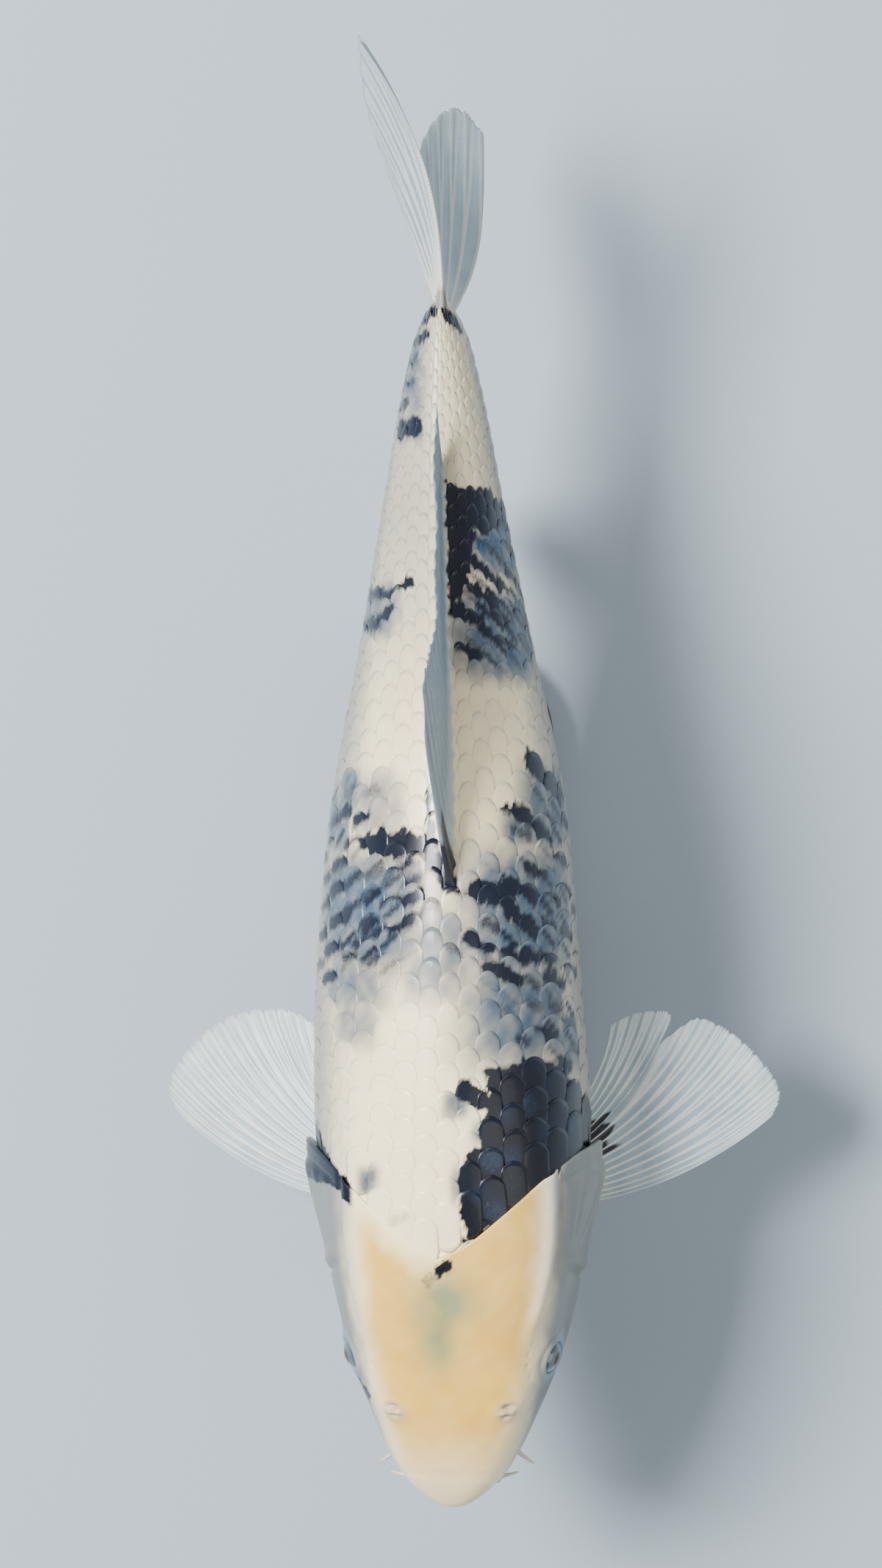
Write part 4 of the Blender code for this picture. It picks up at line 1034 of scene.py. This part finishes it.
def tail_fin_rays(first, last, count, steps):
    """The tail fin from its top ray, 0, to its bottom ray, 1. Its lobes sweep to either side."""
    shares = (0, 0.07, 0.2, 0.35, 0.5, 0.65, 0.8, 0.93, 1)
    length = spline(shares, (88, 91, 78, 56, 42, 54, 75, 82, 75))
    rise = spline((0, 0.2, 0.5, 0.8, 1), (25, 17, 0, -17, -25))
    drift = spline((0, 0.12, 0.28, 0.5, 0.7, 0.85, 0.93, 1), (-26, -28, -24, -15, -8, 1, 8, 15))
    late = spline((0, 0.2, 0.4, 0.5, 1), (2.6, 1.7, 1.1, 1.0, 1.0))
    root = np.array((float(sway(BODY_END)), SNOUT_Y + BODY_END - 3.5 * MM, AXIS_Z))
    done = np.linspace(0, 1, steps) ** 1.15
    rays = []
    for share in np.linspace(first, last, count):
        start = root + (0, 0, (25.0 - 50.5 * share) * MM)
        early = max(0.0, 2 * share - 1) ** 1.5
        angle = np.radians(float(rise(share)) * (1.25 - 0.5 * done))
        reach = float(length(share)) * MM * done
        turned = (1 - early) * done ** float(late(share)) + early * (1 - (1 - done) ** 3.5)
        aside = float(drift(share)) * MM * turned
        rays.append(start + np.stack([aside, reach * np.cos(angle), reach * np.sin(angle)], axis=1))
    return np.array(rays)


def back_fin_ink(share, t, ray):
    """The first rays are black at the root."""
    return ramp(0.10 - share, 0, 0.05) * (1 - ramp(t, 0.25, 0.5)) * 0.9


def left_breast_ink(share, t, ray):
    """Black web between the rays at the root, whose rays stay pale."""
    reach = 0.40 + 0.07 * np.sin(share * 21)
    return (1 - ramp(t, reach - 0.06, reach + 0.03)) * ramp(share, 0.40, 0.50) * (1 - 0.75 * ray)


def tail_ink(share, t, ray):
    """Black streaks at the root of the upper lobe."""
    return (1 - ramp(t, 0.08, 0.22)) * (0.5 + 0.5 * np.sin(share * 30))


fin_piece(
    "back_fin", "dorsal_fin", back_fin_rays(20 * PER_RAY, FIN_STEPS), 20, 1.5,
    ripple=0.4, blacken=back_fin_ink, grey=0.88,
)
fin_piece("vent_fin", "anal_fin", vent_fin_rays(8 * PER_RAY, 44), 8, 1.3)
for label, side in (("left", 1), ("right", -1)):
    rays = belly_fin_rays(side, 10 * PER_RAY, 48)[::side]
    fin_piece(f"belly_fin_{label}", f"pelvic_fin_{label}", rays, 10, 1.4)
fin_piece(
    "breast_fin_left", "pectoral_fin_left",
    breast_fin_rays(1, 8, 0.20, 17 * PER_RAY, FIN_STEPS), 17, 1.6, blacken=left_breast_ink,
)
fin_piece(
    "breast_fin_right", "pectoral_fin_right",
    breast_fin_rays(-1, 25, 0.0, 17 * PER_RAY, FIN_STEPS)[::-1], 17, 1.6, fan=(1.0, 0.0),
)
fin_piece(
    "tail_lobe_upper", "tail_fin_upper", tail_fin_rays(0, 0.496, 10 * PER_RAY, FIN_STEPS), 10, 1.5,
    blacken=tail_ink, grey=0.42,
)
fin_piece(
    "tail_lobe_lower", "tail_fin_lower", tail_fin_rays(0.504, 1, 10 * PER_RAY, FIN_STEPS), 10, 1.5,
    grey=0.42,
)


# ---- Display base ----
# A round-ended board of walnut, sawn along the grain, its edges rounded over with a router and
# finished with dark satin varnish.
def varnished_walnut():
    made, tree = empty_material("varnished_walnut")
    where = add(tree, "TexCoord", out="Object")
    # Growth rings about 3 mm apart, drawn out along the board, with pores 0.3 mm wide.
    drawn = add(tree, "Mapping", where, Scale=(1.0, 0.10, 1.0))
    rings = add(
        tree, "TexWave", drawn, Scale=52, Distortion=7, Detail=3, Detail_Scale=1.4, out="Fac"
    )
    rings = add(tree, "MapRange", rings, 0.2, 0.9)
    figure = add(tree, "TexNoise", drawn, Scale=26, Detail=3)
    pores = add(tree, "Mapping", where, Scale=(1.0, 0.04, 1.0))
    pores = add(tree, "TexNoise", pores, Scale=2600, Detail=1)
    wood = add(tree, "Mix", rings, "#4a2f1f", "#2e1c12", data_type="RGBA")
    for grain, low, high, tint in ((figure, 0.4, 0.7, "#55371f"), (pores, 0.60, 0.70, "#1d110a")):
        shown = add(tree, "MapRange", grain, low, high)
        wood = add(tree, "Mix", shown, wood, tint, data_type="RGBA")
    dents = add(tree, "Bump", Height=pores, Strength=0.15, Distance=0.0002)
    shader = add(
        tree, "BsdfPrincipled", wood, Normal=dents, Roughness=0.42, IOR=1.5,
        Coat_Weight=0.5, Coat_Roughness=0.22,
    )
    add(tree, "OutputMaterial", shader)
    return made


BASE_HALF_LENGTH, BASE_HALF_WIDTH, BASE_THICKNESS = 118 * MM, 39 * MM, 14 * MM
EDGE_RADIUS, UNDERSIDE_CHAMFER = 3 * MM, 0.5 * MM


def board_outline(inset, height, count=72):
    """The board's outline at a height, this far in from its side."""
    radius = BASE_HALF_WIDTH - inset
    ring = []
    for end in (1, -1):
        for turn in np.linspace(0, math.pi, count):
            y = BASE_HALF_LENGTH - BASE_HALF_WIDTH + radius * math.sin(turn)
            ring.append((radius * math.cos(turn) * end, y * end, height))
    return ring


board = [board_outline(UNDERSIDE_CHAMFER, 0), board_outline(0, UNDERSIDE_CHAMFER)]
for turn in np.linspace(0, math.pi / 2, 8):
    inset = EDGE_RADIUS * (1 - math.cos(turn))
    board.append(board_outline(inset, BASE_THICKNESS - EDGE_RADIUS * (1 - math.sin(turn))))
board = np.array(board)
around_board = board.shape[1]
faces = grid_faces(len(board), around_board, closed=True).tolist()
faces.append(tuple(reversed(range(around_board))))
faces.append(tuple(range((len(board) - 1) * around_board, len(board) * around_board)))
base = piece("walnut_base", board.reshape(-1, 3), faces, varnished_walnut(), smooth=35)
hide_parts("stand_base")


# ---- Rods ----
# Two turned steel rods with a screwed foot flange, brushed along their length. Each stands in for
# one that screws into the belly, and ends a hair under the skin.
def brushed_steel():
    made, tree = empty_material("brushed_stainless_steel")
    where = add(tree, "TexCoord", out="Object")
    # Brush lines 0.4 mm apart that run up the rod.
    lines = add(tree, "Mapping", where, Scale=(1.0, 1.0, 0.03))
    lines = add(tree, "TexNoise", lines, Scale=2400, Detail=2)
    shade = add(tree, "Mix", lines, "#9a9b9c", "#c6c7c7", data_type="RGBA")
    gloss = add(tree, "MapRange", lines, 0.3, 0.7, 0.24, 0.38)
    dents = add(tree, "Bump", Height=lines, Strength=0.1, Distance=0.0001)
    shader = add(tree, "BsdfPrincipled", shade, Metallic=1.0, Roughness=gloss, Normal=dents)
    add(tree, "OutputMaterial", shader)
    return made


# The foot flange and the rod's root: radius and height over the board, in mm.
FOOT_PROFILE = (
    (8.0, 0.0), (8.0, 1.7), (7.8, 2.2), (7.3, 2.5), (4.2, 2.5), (3.5, 2.8), (3.1, 3.5), (3.0, 4.5),
)
ROD_RADIUS, ROD_SIDES, BELLY_GAP = 3.0 * MM, 64, 0.35 * MM
spin = np.linspace(0, 2 * math.pi, ROD_SIDES, endpoint=False)
steel = brushed_steel()
for node, place in (("stand_rod_front", 135 * MM), ("stand_rod_rear", 245 * MM)):
    low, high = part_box(node)
    x, y = sway(place), SNOUT_Y + place
    rings = [(r * MM, low.z + z * MM) for r, z in FOOT_PROFILE] + [(ROD_RADIUS, high.z)]
    rod = [[(x + r * math.cos(k), y + r * math.sin(k), z) for k in spin] for r, z in rings]
    rod = np.array(rod)
    # The rod's top follows the slope of the belly.
    for point in rod[-1]:
        aside = np.clip((point[0] - x) / half_width(math.sqrt(place)), -1, 1)
        point[2] = surface(point[1] - SNOUT_Y, math.pi - math.asin(aside))[2] - BELLY_GAP
    faces = grid_faces(len(rings), ROD_SIDES, closed=True).tolist()
    top = (len(rings) - 1) * ROD_SIDES
    faces += [tuple(reversed(range(ROD_SIDES))), tuple(range(top, top + ROD_SIDES))]
    made = piece(node.replace("stand_", "steel_"), rod.reshape(-1, 3), faces, steel, smooth=35)
    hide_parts(node)


# ---- Floor, light and camera ----
# A pale studio sweep under the model, lit by one broad lamp from the upper left and two weak ones.
def studio_paper():
    made, tree = empty_material("matt_background_paper")
    fibres = add(tree, "TexNoise", add(tree, "TexCoord", out="Object"), Scale=600, Detail=2)
    shade = add(tree, "Mix", fibres, "#8e9aa4", "#929ea7", data_type="RGBA")
    add(tree, "OutputMaterial", add(tree, "BsdfPrincipled", shade, Roughness=0.9))
    return made


FLOOR_HALF, FLOOR_HEIGHT = 3, -0.2 * MM
floor_mesh = bpy.data.meshes.new("floor")
corners = ((-1, -1), (1, -1), (1, 1), (-1, 1))
corners = [(FLOOR_HALF * x, FLOOR_HALF * y, FLOOR_HEIGHT) for x, y in corners]
floor_mesh.from_pydata(corners, [], [(0, 1, 2, 3)])
floor_mesh.materials.append(studio_paper())
floor = bpy.data.objects.new("floor", floor_mesh)
bpy.context.scene.collection.objects.link(floor)

# Each lamp: where it stands and its width, in metres, and its watts.
LAMPS = (
    ("key_lamp", (-0.95, 0.35, 1.7), 0.6, 110),
    ("fill_lamp", (1.3, -0.7, 1.3), 1.4, 12),
    ("rim_lamp", (0.2, 1.8, 1.2), 1.2, 12),
)
FISH_MIDDLE = np.array((0, 0.06, 0.12))
for name, spot, size, watts in LAMPS:
    lamp = bpy.data.lights.new(name, "AREA")
    lamp.size, lamp.energy = size, watts
    holder = bpy.data.objects.new(name, lamp)
    holder.location = spot
    holder.rotation_euler = Vector(FISH_MIDDLE - spot).to_track_quat("-Z", "Y").to_euler()
    bpy.context.scene.collection.objects.link(holder)

world = bpy.data.worlds.new("studio_air")
world.use_nodes = True
world.node_tree.nodes["Background"].inputs[0].default_value = linear("#e4e9ee")
world.node_tree.nodes["Background"].inputs[1].default_value = 0.7
bpy.context.scene.world = world

# The camera hangs over the fish and looks straight down.
lens = bpy.data.cameras.new("camera")
lens.lens, lens.sensor_width = 87.3, 36
camera = bpy.data.objects.new("camera", lens)
camera.location = (-0.00276, 0.062, 1.425)
bpy.context.scene.collection.objects.link(camera)
bpy.context.scene.camera = camera
